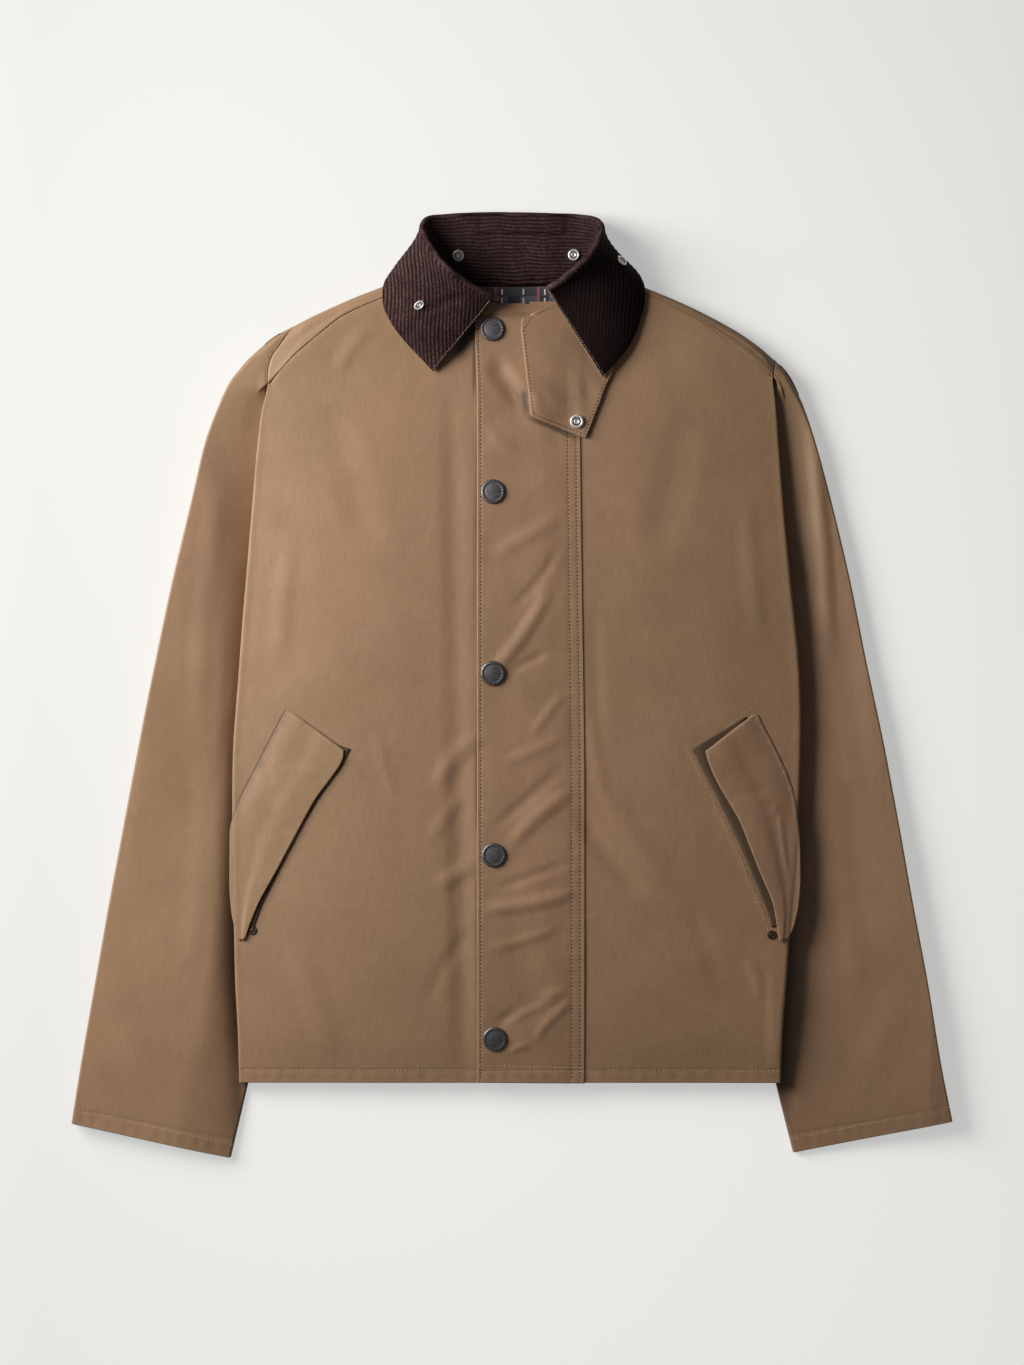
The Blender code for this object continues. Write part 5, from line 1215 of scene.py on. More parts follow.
check, tree, shader = shaded("lining_check", {"Roughness": 0.9, "Sheen Weight": 0.3})
place = tree.nodes.new("ShaderNodeTexCoord").outputs["Object"]
split = tree.nodes.new("ShaderNodeSeparateXYZ")
tree.links.new(place, split.inputs["Vector"])
across, down = split.outputs["X"], split.outputs["Y"]
colour = dyed(tree, bars(tree, across, 0.024, 0.010, 0.003), LINING_GROUND, BAR_DARK)
colour = dyed(tree, bars(tree, down, 0.030, 0.010, 0.001), colour, BAR_GREY)
colour = dyed(tree, bars(tree, across, 0.036, 0.0022, 0.015), colour, BAR_RED)
lines, breaks = bars(tree, across, 0.018, 0.0012, 0.009), bars(tree, down, 0.0075, 0.0048, 0.0)
colour = dyed(tree, reckon(tree, "MULTIPLY", lines, breaks), colour, LINE_WHITE)
tree.links.new(colour, shader.inputs["Base Color"])
tree.links.new(roughened(tree, noise(tree, place, 1800.0), 0.3, 0.0003), shader.inputs["Normal"])
neck_lining.data.materials.append(check)
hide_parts("neck_lining")
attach(neck_lining, "root")

# ------------------------------------------------------------------------------------------------
# Collar. Corduroy over an under-collar of the body's cloth. The stand's wales run round the neck, the
# leaves' wales straight down, so the leaves' edges cut across them. The back of the stand lies flat.
COLLAR_CLOTH = 2.2
WALE_HEIGHT, WALE_PITCH = 0.45, 3.1
COLLAR_ROLL_RADIUS, COLLAR_ROLL_LOOSE = 0.8, 0.3
COLLAR_SECTIONS = (
    # neck x, y, z, roll x, y, z, edge x, y, z, lean, side, droop, turn, rise, crown
    (-11.0, 321.4, 20.5, -16.5, 322.8, 38.0, -65.9, 262.4, 21.6, 0.0, 230.0, 0.0, 62.0, 7.0, 3.0),
    (-24.0, 323.6, 20.0, -26.0, 326.5, 42.0, -74.4, 272.0, 21.2, 0.0, 228.0, 0.0, 62.0, 8.0, 4.0),
    (-38.0, 326.2, 19.6, -37.0, 331.8, 46.0, -84.2, 282.6, 20.8, 0.0, 226.0, 0.0, 64.0, 9.0, 5.0),
    (-51.0, 328.9, 19.0, -46.5, 338.0, 49.0, -93.0, 293.0, 20.0, 4.0, 222.0, 0.0, 68.0, 10.0, 5.0),
    (-63.0, 331.6, 18.6, -54.5, 345.0, 51.0, -100.6, 304.6, 19.0, 8.0, 216.0, 3.0, 72.0, 10.0, 5.0),
    (-73.0, 335.6, 18.0, -61.0, 352.5, 50.0, -106.4, 318.0, 18.4, 15.0, 206.0, 6.0, 78.0, 10.0, 4.0),
    (-77.4, 339.4, 13.5, -67.0, 360.5, 46.0, -106.2, 333.6, 17.6, 25.0, 196.0, 12.0, 84.0, 9.0, 3.0),
    (-76.6, 345.4, 8.0, -72.5, 371.0, 38.0, -99.4, 346.6, 10.0, 38.0, 186.0, 22.0, 90.0, 8.0, 2.0),
    (-70.0, 345.6, 3.6, -75.0, 381.0, 27.0, -91.0, 357.5, 4.6, 56.0, 180.0, 38.0, 90.0, 6.0, 1.0),
    (-61.0, 342.6, 2.4, -71.0, 390.0, 16.0, -80.0, 361.0, 2.9, 74.0, 168.0, 62.0, 90.0, 5.0, 0.0),
    (-48.0, 339.6, 2.0, -57.0, 393.0, 9.6, -56.0, 355.0, 2.9, 86.0, 130.0, 84.0, 90.0, 5.0, 0.0),
    (-32.0, 338.2, 2.0, -36.0, 394.4, 8.4, -36.0, 352.0, 2.9, 90.0, 90.0, 90.0, 90.0, 5.0, 0.0),
    (-16.0, 337.7, 2.0, -18.0, 394.8, 8.2, -18.0, 351.0, 2.9, 90.0, 90.0, 90.0, 90.0, 5.0, 0.0),
    (0.0, 337.6, 2.0, 0.0, 394.8, 8.2, 0.0, 351.0, 2.9, 90.0, 90.0, 90.0, 90.0, 5.0, 0.0),
    (16.0, 337.7, 2.0, 18.0, 394.4, 8.2, 18.0, 351.0, 2.9, 90.0, 90.0, 90.0, 90.0, 5.0, 0.0),
    (32.0, 338.2, 2.0, 36.0, 393.8, 8.4, 36.0, 352.0, 2.9, 90.0, 90.0, 90.0, 90.0, 5.0, 0.0),
    (48.0, 339.6, 2.0, 57.0, 392.8, 9.6, 56.0, 355.0, 2.9, 86.0, 50.0, 84.0, 90.0, 5.0, 0.0),
    (61.0, 342.6, 2.4, 71.0, 389.0, 16.0, 78.6, 360.0, 2.9, 74.0, 12.0, 62.0, 90.0, 5.0, 0.0),
    (70.0, 345.6, 3.6, 75.0, 380.2, 27.0, 91.6, 355.6, 4.6, 56.0, 0.0, 38.0, 90.0, 6.0, 1.0),
    (76.6, 345.4, 8.0, 73.0, 371.0, 38.0, 103.0, 346.4, 10.0, 38.0, -6.0, 22.0, 90.0, 8.0, 2.0),
    (77.6, 340.4, 13.5, 69.4, 361.8, 46.0, 109.2, 333.6, 17.6, 25.0, -16.0, 12.0, 84.0, 9.0, 3.0),
    (74.4, 336.6, 18.0, 63.0, 353.6, 50.0, 109.6, 320.0, 18.8, 15.0, -26.0, 6.0, 78.0, 10.0, 4.0),
    (65.0, 332.4, 18.6, 56.6, 347.2, 51.0, 106.2, 306.0, 19.6, 8.0, -36.0, 3.0, 72.0, 10.0, 5.0),
    (55.0, 328.6, 19.2, 49.0, 340.6, 49.0, 100.6, 290.6, 21.0, 4.0, -42.0, 0.0, 68.0, 10.0, 5.0),
    (44.0, 325.0, 19.8, 40.6, 334.4, 45.0, 92.0, 276.6, 22.8, 0.0, -47.0, 0.0, 64.0, 9.0, 4.0),
    (34.0, 322.8, 20.4, 30.5, 328.6, 41.0, 75.2, 257.6, 24.6, 0.0, -56.0, 0.0, 62.0, 8.0, 3.0),
)
STAND_ROWS, BEND_ROWS, FALL_ROWS = 71, 9, 98
LEAF_STEPS, BACK_STEPS = 14, 5  # from one section to the next
BACK_START, BACK_END = 8, 17  # sections between which the back of the neck lies
COLLAR_MARKS = (
    (-76.0, 308.0, -40.0, 323.0, 7.0, -1.5, -2.0),
    (-92.0, 338.0, -70.0, 352.0, 6.0, -0.6, 0.0),
)


def bezier(a, b, c, d, shares):
    """Points of a cubic curve with the four given control points."""
    t = np.array(shares)[:, None]
    return a * (1 - t) ** 3 + 3 * b * t * (1 - t) ** 2 + 3 * c * t**2 * (1 - t) + d * t**3


def collar_section(row):
    """The under side of the collar at one section: up the stand, round the roll and down the fall."""
    neck, roll, edge = row[0:3], row[3:6], row[6:9]
    lean, side, droop, turn, rise, crown = row[9:15]
    leaning = 1.0 - ease(lean / 60.0)
    up = np.array([0.0, math.sin(math.radians(lean)), math.cos(math.radians(lean))])
    droop, side = math.radians(droop), math.radians(side)
    flat = math.cos(droop)
    out = np.array([math.cos(side) * flat, math.sin(side) * flat, -math.sin(droop)])
    out -= up * (out @ up)
    out /= np.linalg.norm(out)
    radius = COLLAR_ROLL_RADIUS + COLLAR_ROLL_LOOSE * leaning
    centre = roll - up * radius
    start = centre - out * radius
    end_turn = math.radians(turn)
    end = centre + radius * (math.sin(end_turn) * out + math.cos(end_turn) * up)
    heading = math.cos(end_turn) * out - math.sin(end_turn) * up
    stand_length = np.linalg.norm(start - neck)
    fall_length = np.linalg.norm(edge - end)
    lifted = neck + np.array([0.0, 0.0, rise])
    upright = start - up * stand_length * 0.35
    stand = bezier(neck, lifted, upright, start, np.linspace(0.0, 1.0, STAND_ROWS))
    turns = np.radians(np.linspace(-90.0, turn, BEND_ROWS + 2))[1:-1]
    bend = [centre + radius * (math.sin(angle) * out + math.cos(angle) * up) for angle in turns]
    lead = edge + (end - edge) * 0.35 + np.array([0.0, 0.0, crown])
    hanging = end + heading * fall_length * 0.25
    fall = bezier(end, hanging, lead, edge, np.linspace(0.0, 1.0, FALL_ROWS))
    return np.concatenate([stand, bend, fall])


def along_collar(values):
    """Values of the sections and of steps between them, closer together on the leaves than at the back."""
    on_leaves, at_back = refine(values, LEAF_STEPS), refine(values, BACK_STEPS)
    return np.concatenate([
        on_leaves[: BACK_START * LEAF_STEPS], at_back[BACK_START * BACK_STEPS : BACK_END * BACK_STEPS],
        on_leaves[BACK_END * LEAF_STEPS :],
    ])


# The sides in the table count on past 180 degrees without a jump.
under = np.array([collar_section(row) for row in along_collar(COLLAR_SECTIONS)])
columns, rows = under.shape[:2]
flat = under.reshape(-1, 3)
quads = grid_quads(columns, rows)
normals = facing_of(flat, quads)
turned = normals[(columns // 2) * rows + 2][2] < 0.0
if turned:
    normals = -normals
# Wales: along the rows on the stand and the back, straight down on the leaves.
last_section = len(COLLAR_SECTIONS) - 1.0
stations = along_collar(np.arange(len(COLLAR_SECTIONS)))[:, None]
row_index = np.arange(rows)[None, :]
on_leaf = 1.0 - ease((np.minimum(stations, last_section - stations) - 7.5) / 2.0)
on_fall = ease((row_index - STAND_ROWS - 2.0) / 8.0)
down_leaf = on_leaf * on_fall
lengths = cut_lengths(under)[:, 0].reshape(columns, rows) / MM
middle_lengths = lengths[columns // 2][None, :] * np.ones((columns, 1))
leaf_x, leaf_y = under[:, :, 0], under[:, :, 1]
bent = leaf_x + 0.9 * np.sin(leaf_y / 11.0) + 0.4 * np.sin(leaf_x / 5.3 + leaf_y / 19.0)
wale_across = 0.5 + 0.5 * np.cos(2.0 * math.pi * bent / WALE_PITCH)
wobble = 0.5 * np.sin(stations * 1.9 + row_index / 9.0) + 0.35 * np.sin(stations * 4.3 + 2.0)
wale_round = 0.5 + 0.5 * np.cos(2.0 * math.pi * (middle_lengths + wobble) / WALE_PITCH)
wale = (blend(wale_round, wale_across, ease((down_leaf - 0.35) / 0.3))) ** 0.8
crushed_across = np.sin(leaf_x / 3.7 + 1.9 * np.sin(leaf_y / 9.0))
crushed = 0.5 + 0.5 * crushed_across * np.sin(leaf_y / 6.1 + 2.3 * np.sin(leaf_x / 8.0))
wale = wale * blend(0.72, 1.0, crushed)
column_index = np.arange(columns)[:, None]
from_ends = 1.2 * np.minimum(column_index, columns - 1.0 - column_index)
near_edge = np.minimum(np.minimum(row_index, rows - 1.0 - row_index), from_ends)
wale_height = WALE_HEIGHT * wale * blend(0.45, 1.0, ease(near_edge / 3.0))
# The seam of the inner band below the roll, its two short joins, and a soft crease across one leaf.
below_roll = middle_lengths[0, STAND_ROWS] - middle_lengths
in_band = (below_roll > 0.0) * (under[:, :, 2] < 20.0)
band_seam = np.exp(-((below_roll - 15.0) / 0.8) ** 2)
band_seam = band_seam * ease((leaf_x + 33.0) / 6.0) * ease((48.0 - leaf_x) / 6.0)
joins = np.exp(-((leaf_x + 29.0) / 0.9) ** 2) + np.exp(-((leaf_x - 44.0) / 0.9) ** 2)
seam = np.maximum(band_seam, joins * ease((15.5 - below_roll) / 1.0)) * in_band
dent = folds(COLLAR_MARKS, leaf_x, leaf_y) * down_leaf
raised = flat + normals * (COLLAR_CLOTH + (wale_height - 0.5 * seam + dent).reshape(-1))[:, None]
# The wale valleys are painted dark as painted shade; the inner band's seam is painted dark as a dark seam
# line.
valley = np.maximum(1.0 - wale, 0.9 * seam).reshape(-1)
# Painted shade: the leaf on the wearer's left, which slopes away from the key light, is painted darker.
left_leaf_painted_shade = (0.80 * ease((stations - 15.5) / 3.0) * on_fall).reshape(-1)
collar = sew(
    "collar_cloth", raised, quads[:, ::-1] if turned else quads, COLLAR_CLOTH + 0.2, cut_lengths(under),
    rim=0.2, marks={"valley": valley, "left_leaf_painted_shade": left_leaf_painted_shade},
)

PILE_DEEP, PILE_RUBBED, PILE_SPECKLE = (0.028, 0.0130, 0.0130), (0.072, 0.036, 0.036), (0.150, 0.090, 0.086)
VALLEY_PAINTED_SHADE_TINT, LEFT_LEAF_PAINTED_SHADE_TINT = (0.005, 0.0022, 0.0024), (0.0050, 0.0019, 0.0023)
corduroy, tree, shader = shaded("corduroy", {
    "Roughness": 0.85, "Specular IOR Level": 0.08, "Sheen Weight": 0.04, "Sheen Roughness": 0.35,
    "Sheen Tint": (0.42, 0.26, 0.24, 1.0),
})
place = tree.nodes.new("ShaderNodeTexCoord").outputs["Object"]
pile, rubbed = noise(tree, place, 620.0, 3.0), noise(tree, place, 46.0)
colour = dyed(tree, rubbed, PILE_DEEP, PILE_RUBBED)
speckle = reckon(tree, "MULTIPLY", ramp(tree, pile, 0.42, 0.62), rubbed)
colour = dyed(tree, speckle, colour, PILE_SPECKLE)
# Painted shade in the wale valleys, and the band's dark seam line.
colour = dyed(tree, mark_of(tree, "valley"), colour, VALLEY_PAINTED_SHADE_TINT)
# Painted shade on the leaf on the wearer's left.
colour = dyed(tree, mark_of(tree, "left_leaf_painted_shade"), colour, LEFT_LEAF_PAINTED_SHADE_TINT)
tree.links.new(colour, shader.inputs["Base Color"])
tree.links.new(roughened(tree, pile, 0.35, 0.0004), shader.inputs["Normal"])
collar.data.materials.append(corduroy)
collar.data.materials.append(body_cloth)
under_faces = np.zeros(len(collar.data.polygons), np.int32)
under_faces[len(quads) :] = 1
collar.data.polygons.foreach_set("material_index", under_faces)
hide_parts("collar")
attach(collar, "root")

# ------------------------------------------------------------------------------------------------
# Snaps, studs and rivets. Turned caps of gunmetal with a ring of small punched dots, nickel rings in
# the collar, a nickel stud on the latch and a small rivet at the foot of each pocket.
SNAP_DIAMETER, SNAP_HEIGHT, SNAP_DOTS = 20.6, 2.4, 18
SNAP_PLACES = ((-16.5, 297.6), (-15.9, 161.0), (-16.1, 9.4), (-15.2, -142.6), (-14.4, -296.6))
LATCH_SNAP_PLACE, LATCH_SNAP_DIAMETER, LATCH_SNAP_HEIGHT = (54.2, 219.7), 11.8, 2.0
COLLAR_SNAP_DIAMETER, COLLAR_SNAP_HEIGHT = 10.0, 1.6
RIVET_DIAMETER, RIVET_HEIGHT = 7.6, 1.4
RIVET_PLACE = {"right": (217.6, -206.0), "left": (217.4, -209.6)}
CAP_PROFILE = (
    # share of the radius, share of the height
    (0.90, 0.0), (0.95, 0.04), (0.985, 0.14), (1.0, 0.28), (0.99, 0.44), (0.965, 0.60), (0.93, 0.74),
    (0.885, 0.83), (0.83, 0.86), (0.78, 0.83), (0.745, 0.78), (0.70, 0.765), (0.66, 0.78), (0.60, 0.82),
    (0.50, 0.88), (0.36, 0.945), (0.20, 0.985), (0.08, 1.0),
)
RING_PROFILE = (
    (0.90, 0.0), (0.96, 0.10), (1.0, 0.35), (0.985, 0.62), (0.94, 0.85), (0.87, 0.97), (0.78, 1.0),
    (0.69, 0.97), (0.62, 0.86), (0.58, 0.66), (0.55, 0.40), (0.52, 0.30), (0.44, 0.30), (0.42, 0.55),
    (0.38, 0.75), (0.33, 0.78), (0.29, 0.70), (0.27, 0.45), (0.25, 0.28), (0.08, 0.26),
)
RIVET_PROFILE = (
    (0.90, 0.0), (0.97, 0.12), (1.0, 0.34), (0.96, 0.58), (0.88, 0.76), (0.78, 0.84), (0.66, 0.80),
    (0.56, 0.62), (0.50, 0.58), (0.40, 0.74), (0.26, 0.92), (0.08, 1.0),
)
CAP_SIDES, DOT_SIDES = 48, 8
DOT_RING, DOT_LEVEL = 0.79, 0.80  # shares of the cap's radius and height
RING_GROOVE = (0.44, 0.58)  # shares of a ring's radius between which its groove is painted dark, as painted shade


def metal(name, colour, roughness, patina, share, metallic=1.0):
    """Metal with a mottled finish: patina is the colour of its darker film, share how much of it."""
    made, tree, shader = shaded(name, {"Metallic": metallic, "Roughness": roughness})
    film = noise(tree, tree.nodes.new("ShaderNodeTexCoord").outputs["Object"], 420.0, 4.0)
    spread = ramp(tree, film, 0.35, 0.65, 0.0, share)
    tree.links.new(dyed(tree, spread, colour, patina), shader.inputs["Base Color"])
    rough = ramp(tree, film, 0.0, 1.0, roughness * 0.8, roughness * 1.3)
    tree.links.new(rough, shader.inputs["Roughness"])
    tree.links.new(roughened(tree, film, 0.12, 0.0001), shader.inputs["Normal"])
    return made


gunmetal = metal("gunmetal", (0.215, 0.210, 0.220), 0.50, (0.105, 0.102, 0.108), 0.8)
nickel = metal("nickel", (0.78, 0.75, 0.71), 0.38, (0.45, 0.42, 0.39), 0.5, metallic=0.6)
aged_brass = metal("aged_brass", (0.120, 0.085, 0.060), 0.6, (0.040, 0.030, 0.024), 0.8)
# Painted shade: the punched dots and the rings' grooves are near black, standing in for the shade inside
# them.
hollow_painted_shade = metal("painted_shade_hollow", (0.012, 0.011, 0.011), 0.8, (0.006, 0.006, 0.006), 0.6, metallic=0.0)


def punched_dot(middle, axis, across, beside, start):
    """Points and faces of one punched dot in a cap, painted dark as painted shade; its points are numbered
    from start.
    """
    points = []
    for level, radius in ((-0.2, 0.62), (0.20, 0.52)):
        for step in range(DOT_SIDES):
            spin = 2.0 * math.pi * step / DOT_SIDES
            outward = math.cos(spin) * across + math.sin(spin) * beside
            points.append(middle + outward * radius + axis * level)
    points += [middle - axis * 0.25, middle + axis * 0.24]
    top, foot, crown = start + DOT_SIDES, start + 2 * DOT_SIDES, start + 2 * DOT_SIDES + 1
    faces = []
    for step in range(DOT_SIDES):
        beside_step = (step + 1) % DOT_SIDES
        faces.append((start + step, start + beside_step, top + beside_step, top + step))
        faces.append((top + step, top + beside_step, crown))
        faces.append((start + beside_step, start + step, foot))
    return points, faces


def turned_cap(name, foot, axis, diameter, height, profile, dots=0, squeezed=None):
    """A turned cap on a surface, its foot's centre at foot. Dots are punched into the ring below its crown.

    A ring that is squeezed is an oval, narrower by a third in that direction.
    """
    axis = np.array(axis, float) / np.linalg.norm(axis)
    across = np.cross(axis, (0.0, 1.0, 0.0))
    across /= np.linalg.norm(across)
    beside = np.cross(axis, across)
    turns = 2.0 * math.pi * np.arange(CAP_SIDES) / CAP_SIDES
    around = np.cos(turns)[:, None] * across + np.sin(turns)[:, None] * beside
    if squeezed:
        narrow = np.array(squeezed) / np.linalg.norm(squeezed)
        around = around - 0.33 * (around @ narrow)[:, None] * narrow
    points = [np.array([foot])]
    for share, level in profile:
        points.append(foot + around * share * diameter / 2.0 + axis * level * height)
    points.append(np.array([foot + axis * height * profile[-1][1]]))
    points = list(np.concatenate(points))
    rings = len(profile)
    last = 1 + (rings - 1) * CAP_SIDES
    faces = []
    for step in range(CAP_SIDES):
        beside_step = (step + 1) % CAP_SIDES
        faces.append((0, 1 + beside_step, 1 + step))
        for ring in range(rings - 1):
            low, high = 1 + ring * CAP_SIDES, 1 + (ring + 1) * CAP_SIDES
            faces.append((low + step, low + beside_step, high + beside_step, high + step))
        faces.append((last + step, last + beside_step, 1 + rings * CAP_SIDES))
    cap_faces = len(faces)
    for dot in range(dots):
        turn = 2.0 * math.pi * dot / dots
        outward = math.cos(turn) * across + math.sin(turn) * beside
        middle = foot + outward * DOT_RING * diameter / 2.0 + axis * height * DOT_LEVEL
        dot_points, dot_faces = punched_dot(middle, axis, across, beside, len(points))
        points += dot_points
        faces += dot_faces
    mesh = bpy.data.meshes.new(name)
    mesh.from_pydata(in_frame(points).tolist(), [], faces)
    mesh.shade_smooth()
    kinds = np.zeros(len(faces), np.int32)
    kinds[cap_faces:] = 1
    if profile is RING_PROFILE:
        for ring, (share, _) in enumerate(profile[:-1]):
            if RING_GROOVE[0] < share <= RING_GROOVE[1]:
                kinds[1 + ring : cap_faces : rings + 1] = 1
    made = bpy.data.objects.new(name, mesh)
    scene.collection.objects.link(made)
    mesh.materials.append({CAP_PROFILE: gunmetal, RING_PROFILE: nickel, RIVET_PROFILE: aged_brass}[profile])
    mesh.materials.append(hollow_painted_shade)
    mesh.polygons.foreach_set("material_index", kinds)
    return made


def surface_of(piece):
    """A tree of the piece's faces in millimetres, for dropping things onto it."""
    points = np.empty(len(piece.data.vertices) * 3, np.float32)
    piece.data.vertices.foreach_get("co", points)
    points = points.reshape(-1, 3) / MM + MIDDLE
    faces = [tuple(face.vertices) for face in piece.data.polygons]
    return BVHTree.FromPolygons([Vector(place) for place in points.tolist()], faces)


surfaces = {}
for name in ("storm_flap", "throat_latch", "collar"):
    surfaces[name + "_cloth"] = surface_of(bpy.data.objects[name + "_cloth"])
for side in SIDE_SIGN:
    for name in (f"front_{side}_cloth", f"sleeve_{side}_cloth", f"pocket_flap_{side}_cloth"):
        surfaces[name] = surface_of(bpy.data.objects[name])


def drop(name, start, direction):
    """Where a line first meets a piece, and the surface's normal there, turned to face the line."""
    ray = Vector(direction).normalized()
    place, normal = surfaces[name].ray_cast(Vector(start), ray)[:2]
    return (place, normal if normal.dot(ray) < 0.0 else -normal) if place else (None, None)


def seat(name, start, direction, diameter, gap=0.1):
    """Foot and axis of a cap that rests on a piece, square to its mean slope."""
    ray = Vector(direction).normalized()
    across = ray.orthogonal().normalized()
    beside = ray.cross(across)
    places, slope = [], Vector((0.0, 0.0, 0.0))
    for step in range(17):
        spread = 0.0 if step == 16 else diameter * (0.25 if step % 2 else 0.46)
        turn = math.pi * step / 8.0
        outward = across * math.cos(turn) + beside * math.sin(turn)
        place, normal = drop(name, Vector(start) + outward * spread, ray)
        if place:
            places.append(place)
            slope += normal
    axis = slope.normalized()
    centre = drop(name, start, ray)[0]
    highest = max((place - centre).dot(axis) for place in places)
    return np.array(centre + axis * (highest * 0.6 + gap)), np.array(axis)


HIGH, DOWN = 90.0, (0, 0, -1)  # things are dropped onto the cloth from this height
LATCH_SNAP = (LATCH_SNAP_DIAMETER, LATCH_SNAP_HEIGHT, RING_PROFILE, 0)
RIVET = (RIVET_DIAMETER, RIVET_HEIGHT, RIVET_PROFILE, 0)
COLLAR_SNAP = (COLLAR_SNAP_DIAMETER, COLLAR_SNAP_HEIGHT, RING_PROFILE, 0)
caps = []
for number, spot in enumerate(SNAP_PLACES, start=1):
    snap = (SNAP_DIAMETER, SNAP_HEIGHT, CAP_PROFILE, SNAP_DOTS)
    caps.append((f"snap_{number}", "storm_flap_cloth", (*spot, HIGH), DOWN, *snap))
caps.append(("latch_snap", "throat_latch_cloth", (*LATCH_SNAP_PLACE, HIGH), DOWN, *LATCH_SNAP))
for side in SIDE_SIGN:
    rivet_x, rivet_y = RIVET_PLACE[side]
    spot = (SIDE_SIGN[side] * rivet_x, rivet_y, HIGH)
    caps.append(("pocket_rivet_" + side, f"front_{side}_cloth", spot, DOWN, *RIVET))
for name, start, direction in (
    ("collar_socket_right", (-45.2, 360.5, HIGH), DOWN), ("collar_socket_left", (52.0, 361.0, HIGH), DOWN),
    ("collar_eyelet_right", (-77.1, 316.2, HIGH), DOWN),
    ("collar_eyelet_left", (140.0, 353.8, 26.0), (-1, 0, 0)),
):
    caps.append((name, "collar_cloth", start, direction, *COLLAR_SNAP))
for name, on, start, direction, diameter, height, profile, dots in caps:
    foot, axis = seat(on, start, direction, diameter)
    squeezed = (0.6, -0.8, 0.0) if name == "collar_eyelet_right" else None
    cap = turned_cap(name + "_metal", foot, axis, diameter, height, profile, dots=dots, squeezed=squeezed)
    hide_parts(name)
    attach(cap, "root")

# ------------------------------------------------------------------------------------------------
# Stitches. Waxed thread along every sewn line, each stitch a small body that is laid on the cloth and
# pressed a little into it. Rows are given as (x, y) points, and the cloth gives their height.
THREAD_WIDTH, STITCH_LENGTH, STITCH_PITCH = 0.6, 2.3, 3.5
THREAD_LIFT = 0.05


def thread_material(name, colour):
    """Thread of a colour, clouded with its own darker shade."""
    made, tree, shader = shaded(name, {"Roughness": 0.7})
    ply = noise(tree, tree.nodes.new("ShaderNodeTexCoord").outputs["Object"], 260.0)
    darker = tuple(value * 0.6 for value in colour)
    tree.links.new(dyed(tree, ply, colour, darker), shader.inputs["Base Color"])
    return made


def laid_path(on, points):
    """Points of a path on the top of the named piece: places and normals, about 1 mm apart."""
    points = np.array(points, float)
    length = np.linalg.norm(np.diff(points, axis=0), axis=1).sum()
    places, normals = [], []
    for x, y in along_straight(points, np.linspace(0.0, 1.0, int(length) + 2)):
        place, facing = drop(on, (x, y, HIGH), DOWN)
        if place:
            places.append(np.array(place + facing * THREAD_LIFT))
            normals.append(np.array(facing))
    return np.array(places), np.array(normals)


def stitch_nodes(thread):
    """Resample a path at a pitch, lay a stitch along it at each point and keep the thread on it."""
    group = bpy.data.node_groups.new("stitches", "GeometryNodeTree")
    group.interface.new_socket("Path", in_out="INPUT", socket_type="NodeSocketGeometry")
    sockets = {}
    for label, value in (("Pitch", STITCH_PITCH), ("Length", STITCH_LENGTH), ("Width", THREAD_WIDTH)):
        socket = group.interface.new_socket(label, in_out="INPUT", socket_type="NodeSocketFloat")
        socket.default_value = value * MM
        sockets[label] = socket.identifier
    group.interface.new_socket("Stitches", in_out="OUTPUT", socket_type="NodeSocketGeometry")
    nodes, links = group.nodes, group.links
    given, made = nodes.new("NodeGroupInput"), nodes.new("NodeGroupOutput")
    curve = nodes.new("GeometryNodeMeshToCurve")
    links.new(given.outputs["Path"], curve.inputs["Mesh"])
    resample = nodes.new("GeometryNodeResampleCurve")
    resample.mode = "LENGTH"
    links.new(curve.outputs["Curve"], resample.inputs["Curve"])
    links.new(given.outputs["Pitch"], resample.inputs["Length"])
    stitch = nodes.new("GeometryNodeMeshUVSphere")
    stitch.inputs["Segments"].default_value = 6
    stitch.inputs["Rings"].default_value = 5
    stitch.inputs["Radius"].default_value = 0.5
    size = nodes.new("ShaderNodeCombineXYZ")
    links.new(given.outputs["Length"], size.inputs["X"])
    links.new(given.outputs["Width"], size.inputs["Y"])
    links.new(given.outputs["Width"], size.inputs["Z"])
    shape = nodes.new("GeometryNodeTransform")
    links.new(stitch.outputs["Mesh"], shape.inputs["Geometry"])
    links.new(size.outputs["Vector"], shape.inputs["Scale"])
    tangent = nodes.new("GeometryNodeInputTangent")
    facing = nodes.new("GeometryNodeInputNamedAttribute")
    facing.data_type = "FLOAT_VECTOR"
    facing.inputs["Name"].default_value = "facing"
    turn = nodes.new("FunctionNodeAxesToRotation")
    turn.primary_axis, turn.secondary_axis = "X", "Z"
    links.new(tangent.outputs["Tangent"], turn.inputs["Primary Axis"])
    links.new(facing.outputs["Attribute"], turn.inputs["Secondary Axis"])
    lay = nodes.new("GeometryNodeInstanceOnPoints")
    links.new(resample.outputs["Curve"], lay.inputs["Points"])
    links.new(shape.outputs["Geometry"], lay.inputs["Instance"])
    links.new(turn.outputs["Rotation"], lay.inputs["Rotation"])
    whole = nodes.new("GeometryNodeRealizeInstances")
    links.new(lay.outputs["Instances"], whole.inputs["Geometry"])
    painted = nodes.new("GeometryNodeSetMaterial")
    painted.inputs["Material"].default_value = thread
    links.new(whole.outputs["Geometry"], painted.inputs["Geometry"])
    links.new(painted.outputs["Geometry"], made.inputs["Stitches"])
    return group, sockets


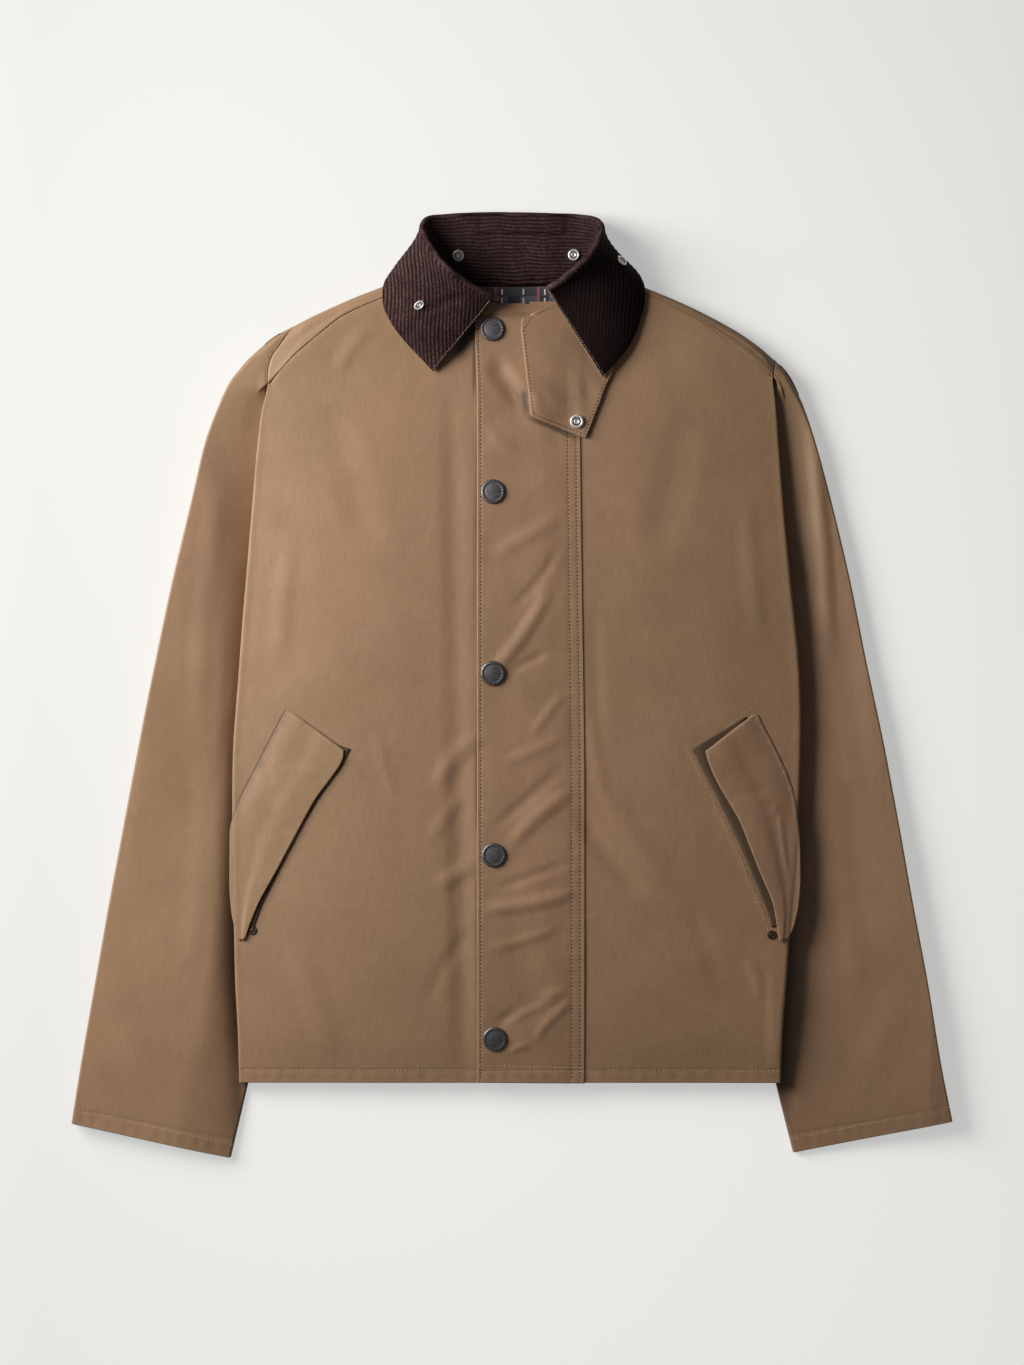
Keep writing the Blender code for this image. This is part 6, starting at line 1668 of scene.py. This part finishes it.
def sew_rows(name, rows, thread, pitch=STITCH_PITCH, length=STITCH_LENGTH, width=THREAD_WIDTH):
    """One piece of stitches from laid paths."""
    mesh = bpy.data.meshes.new(name + "_path")
    points, edges, facings = [], [], []
    for places, normals in rows:
        edges += [(len(points) + step, len(points) + step + 1) for step in range(len(places) - 1)]
        points += in_frame(places).tolist()
        facings += normals.tolist()
    mesh.from_pydata(points, edges, [])
    facing = mesh.attributes.new("facing", "FLOAT_VECTOR", "POINT")
    facing.data.foreach_set("vector", np.array(facings, np.float32).ravel())
    piece = bpy.data.objects.new(name + "_path", mesh)
    scene.collection.objects.link(piece)
    group, sockets = stitch_nodes(thread)
    modifier = piece.modifiers.new("stitches", "NODES")
    modifier.node_group = group
    for label, value in (("Pitch", pitch), ("Length", length), ("Width", width)):
        modifier[sockets[label]] = value * MM
    bpy.context.view_layer.update()
    made = bpy.data.meshes.new_from_object(piece.evaluated_get(bpy.context.evaluated_depsgraph_get()))
    made.name = name
    made.materials.clear()
    made.materials.append(thread)
    bpy.data.objects.remove(piece)
    stitches = bpy.data.objects.new(name, made)
    scene.collection.objects.link(stitches)
    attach(stitches, "root")
    return stitches


def mirrored(side, points):
    """Points given by their distance from the centre line, on one side of it."""
    return [(SIDE_SIGN[side] * x, y) for x, y in points]


tan_thread = thread_material("tan_thread", (0.62, 0.46, 0.29))
cream_thread = thread_material("cream_thread", (0.62, 0.53, 0.40))
brown_thread = thread_material("brown_thread", (0.034, 0.020, 0.013))

hem_rows = []
for side, opening in (("right", -STORM_FLAP_LEFT_X), ("left", STORM_FLAP_RIGHT_X)):
    hem_line = [(opening + 0.6, HEM_Y + HEM_STITCH), (223.0, HEM_Y + HEM_STITCH)]
    hem_rows.append(laid_path(f"front_{side}_cloth", mirrored(side, hem_line)))
hem_line = [(-27.0, HEM_Y + HEM_STITCH + 4.4), (57.5, HEM_Y + HEM_STITCH + 1.8)]
hem_rows.append(laid_path("storm_flap_cloth", hem_line))
for side in SIDE_SIGN:
    outer = along(SLEEVE_OUTER[side], [0.981])[0]
    inner = along(SLEEVE_INNER[side], [0.9735])[0]
    cuff_line = [blend(outer, inner, 0.012), blend(outer, inner, 0.985)]
    hem_rows.append(laid_path(f"sleeve_{side}_cloth", mirrored(side, cuff_line)))
hem_stitches = sew_rows("hem_stitches", hem_rows, tan_thread)

flap_rows = []
for place, top_y in ((FREE_EDGE_STITCH, 316.0), *((place, 300.0) for place in SEWN_EDGE_STITCHES)):
    row_y = np.linspace(HEM_Y + 5.0, top_y, 40)
    flap_line = np.column_stack([place + flap_lean(place, row_y), row_y])
    flap_rows.append(laid_path("storm_flap_cloth", flap_line))
flap_stitches = sew_rows("storm_flap_stitches", flap_rows, brown_thread, pitch=3.2, length=1.5, width=1.0)

armhole_rows = []
for side in SIDE_SIGN:
    seam_line = [(x + 1.3, y + 0.4) for x, y, _ in SHOULDER_ARMHOLE[side][2:]]
    armhole_rows.append(laid_path(f"sleeve_{side}_cloth", mirrored(side, seam_line)))
armhole_rows.append(laid_path("sleeve_right_cloth", [(-209.5, 277.4), (-200.0, 277.8)]))
armhole_rows.append(laid_path("sleeve_right_cloth", [(-205.4, 277.0), (-205.2, 269.0)]))
armhole_stitches = sew_rows("armhole_stitches", armhole_rows, tan_thread, pitch=1.9, length=1.9, width=0.5)

latch_edge = [(30.6, 315.0), (22.9, 311.0), (15.4, 307.0)]
latch_edge += [(x + 1.6, y + 0.6) for x, y, _, _ in reversed(THROAT_LATCH[:-4])]
latch_edge += [(17.8, 225.6), (60.4, 208.9)]
latch_edge += [(x - 1.8, y + 0.9) for _, _, x, y in THROAT_LATCH[1:-5]]
latch_rows = [laid_path("throat_latch_cloth", latch_edge)]
latch_stitches = sew_rows(
    "throat_latch_stitches", latch_rows, brown_thread, pitch=3.0, length=1.4, width=0.95,
)

leaf_rows, leaf_faces = raised.reshape(columns, rows, 3), normals.reshape(columns, rows, 3)
fall_start = STAND_ROWS + BEND_ROWS + 6
leaf_paths = []
for column in (1, -2):  # the columns beside the two leaves' front edges
    facing = leaf_faces[column, fall_start:]
    leaf_paths.append((leaf_rows[column, fall_start:] + facing * 0.15, facing))
collar_stitches = sew_rows(
    "collar_edge_stitches", leaf_paths, cream_thread, pitch=2.3, length=1.2, width=0.55,
)

pocket_rows = []
for side in SIDE_SIGN:
    shape = np.array(POCKET_FLAP[side])
    flap, front = f"pocket_flap_{side}_cloth", f"front_{side}_cloth"
    top_left, top_right = shape[0, :2], shape[0, 2:4]
    mouth = np.array(POCKET_FACING[side])[:, :2]
    for on, line in (
        (flap, [top_left + (-1.6, -3.2), top_right + (2.0, -1.6)]),
        (flap, [blend(row[:2], row[2:4], 0.045) for row in shape[:-1]]),
        (front, [top_left + (-2.0, 4.6), top_right + (-3.0, 3.6)]),
        (front, [place + (-3.6, -1.2) for place in mouth]),
    ):
        pocket_rows.append(laid_path(on, mirrored(side, line)))
pocket_stitches = sew_rows("pocket_stitches", pocket_rows, tan_thread, pitch=2.6, length=1.4, width=0.65)
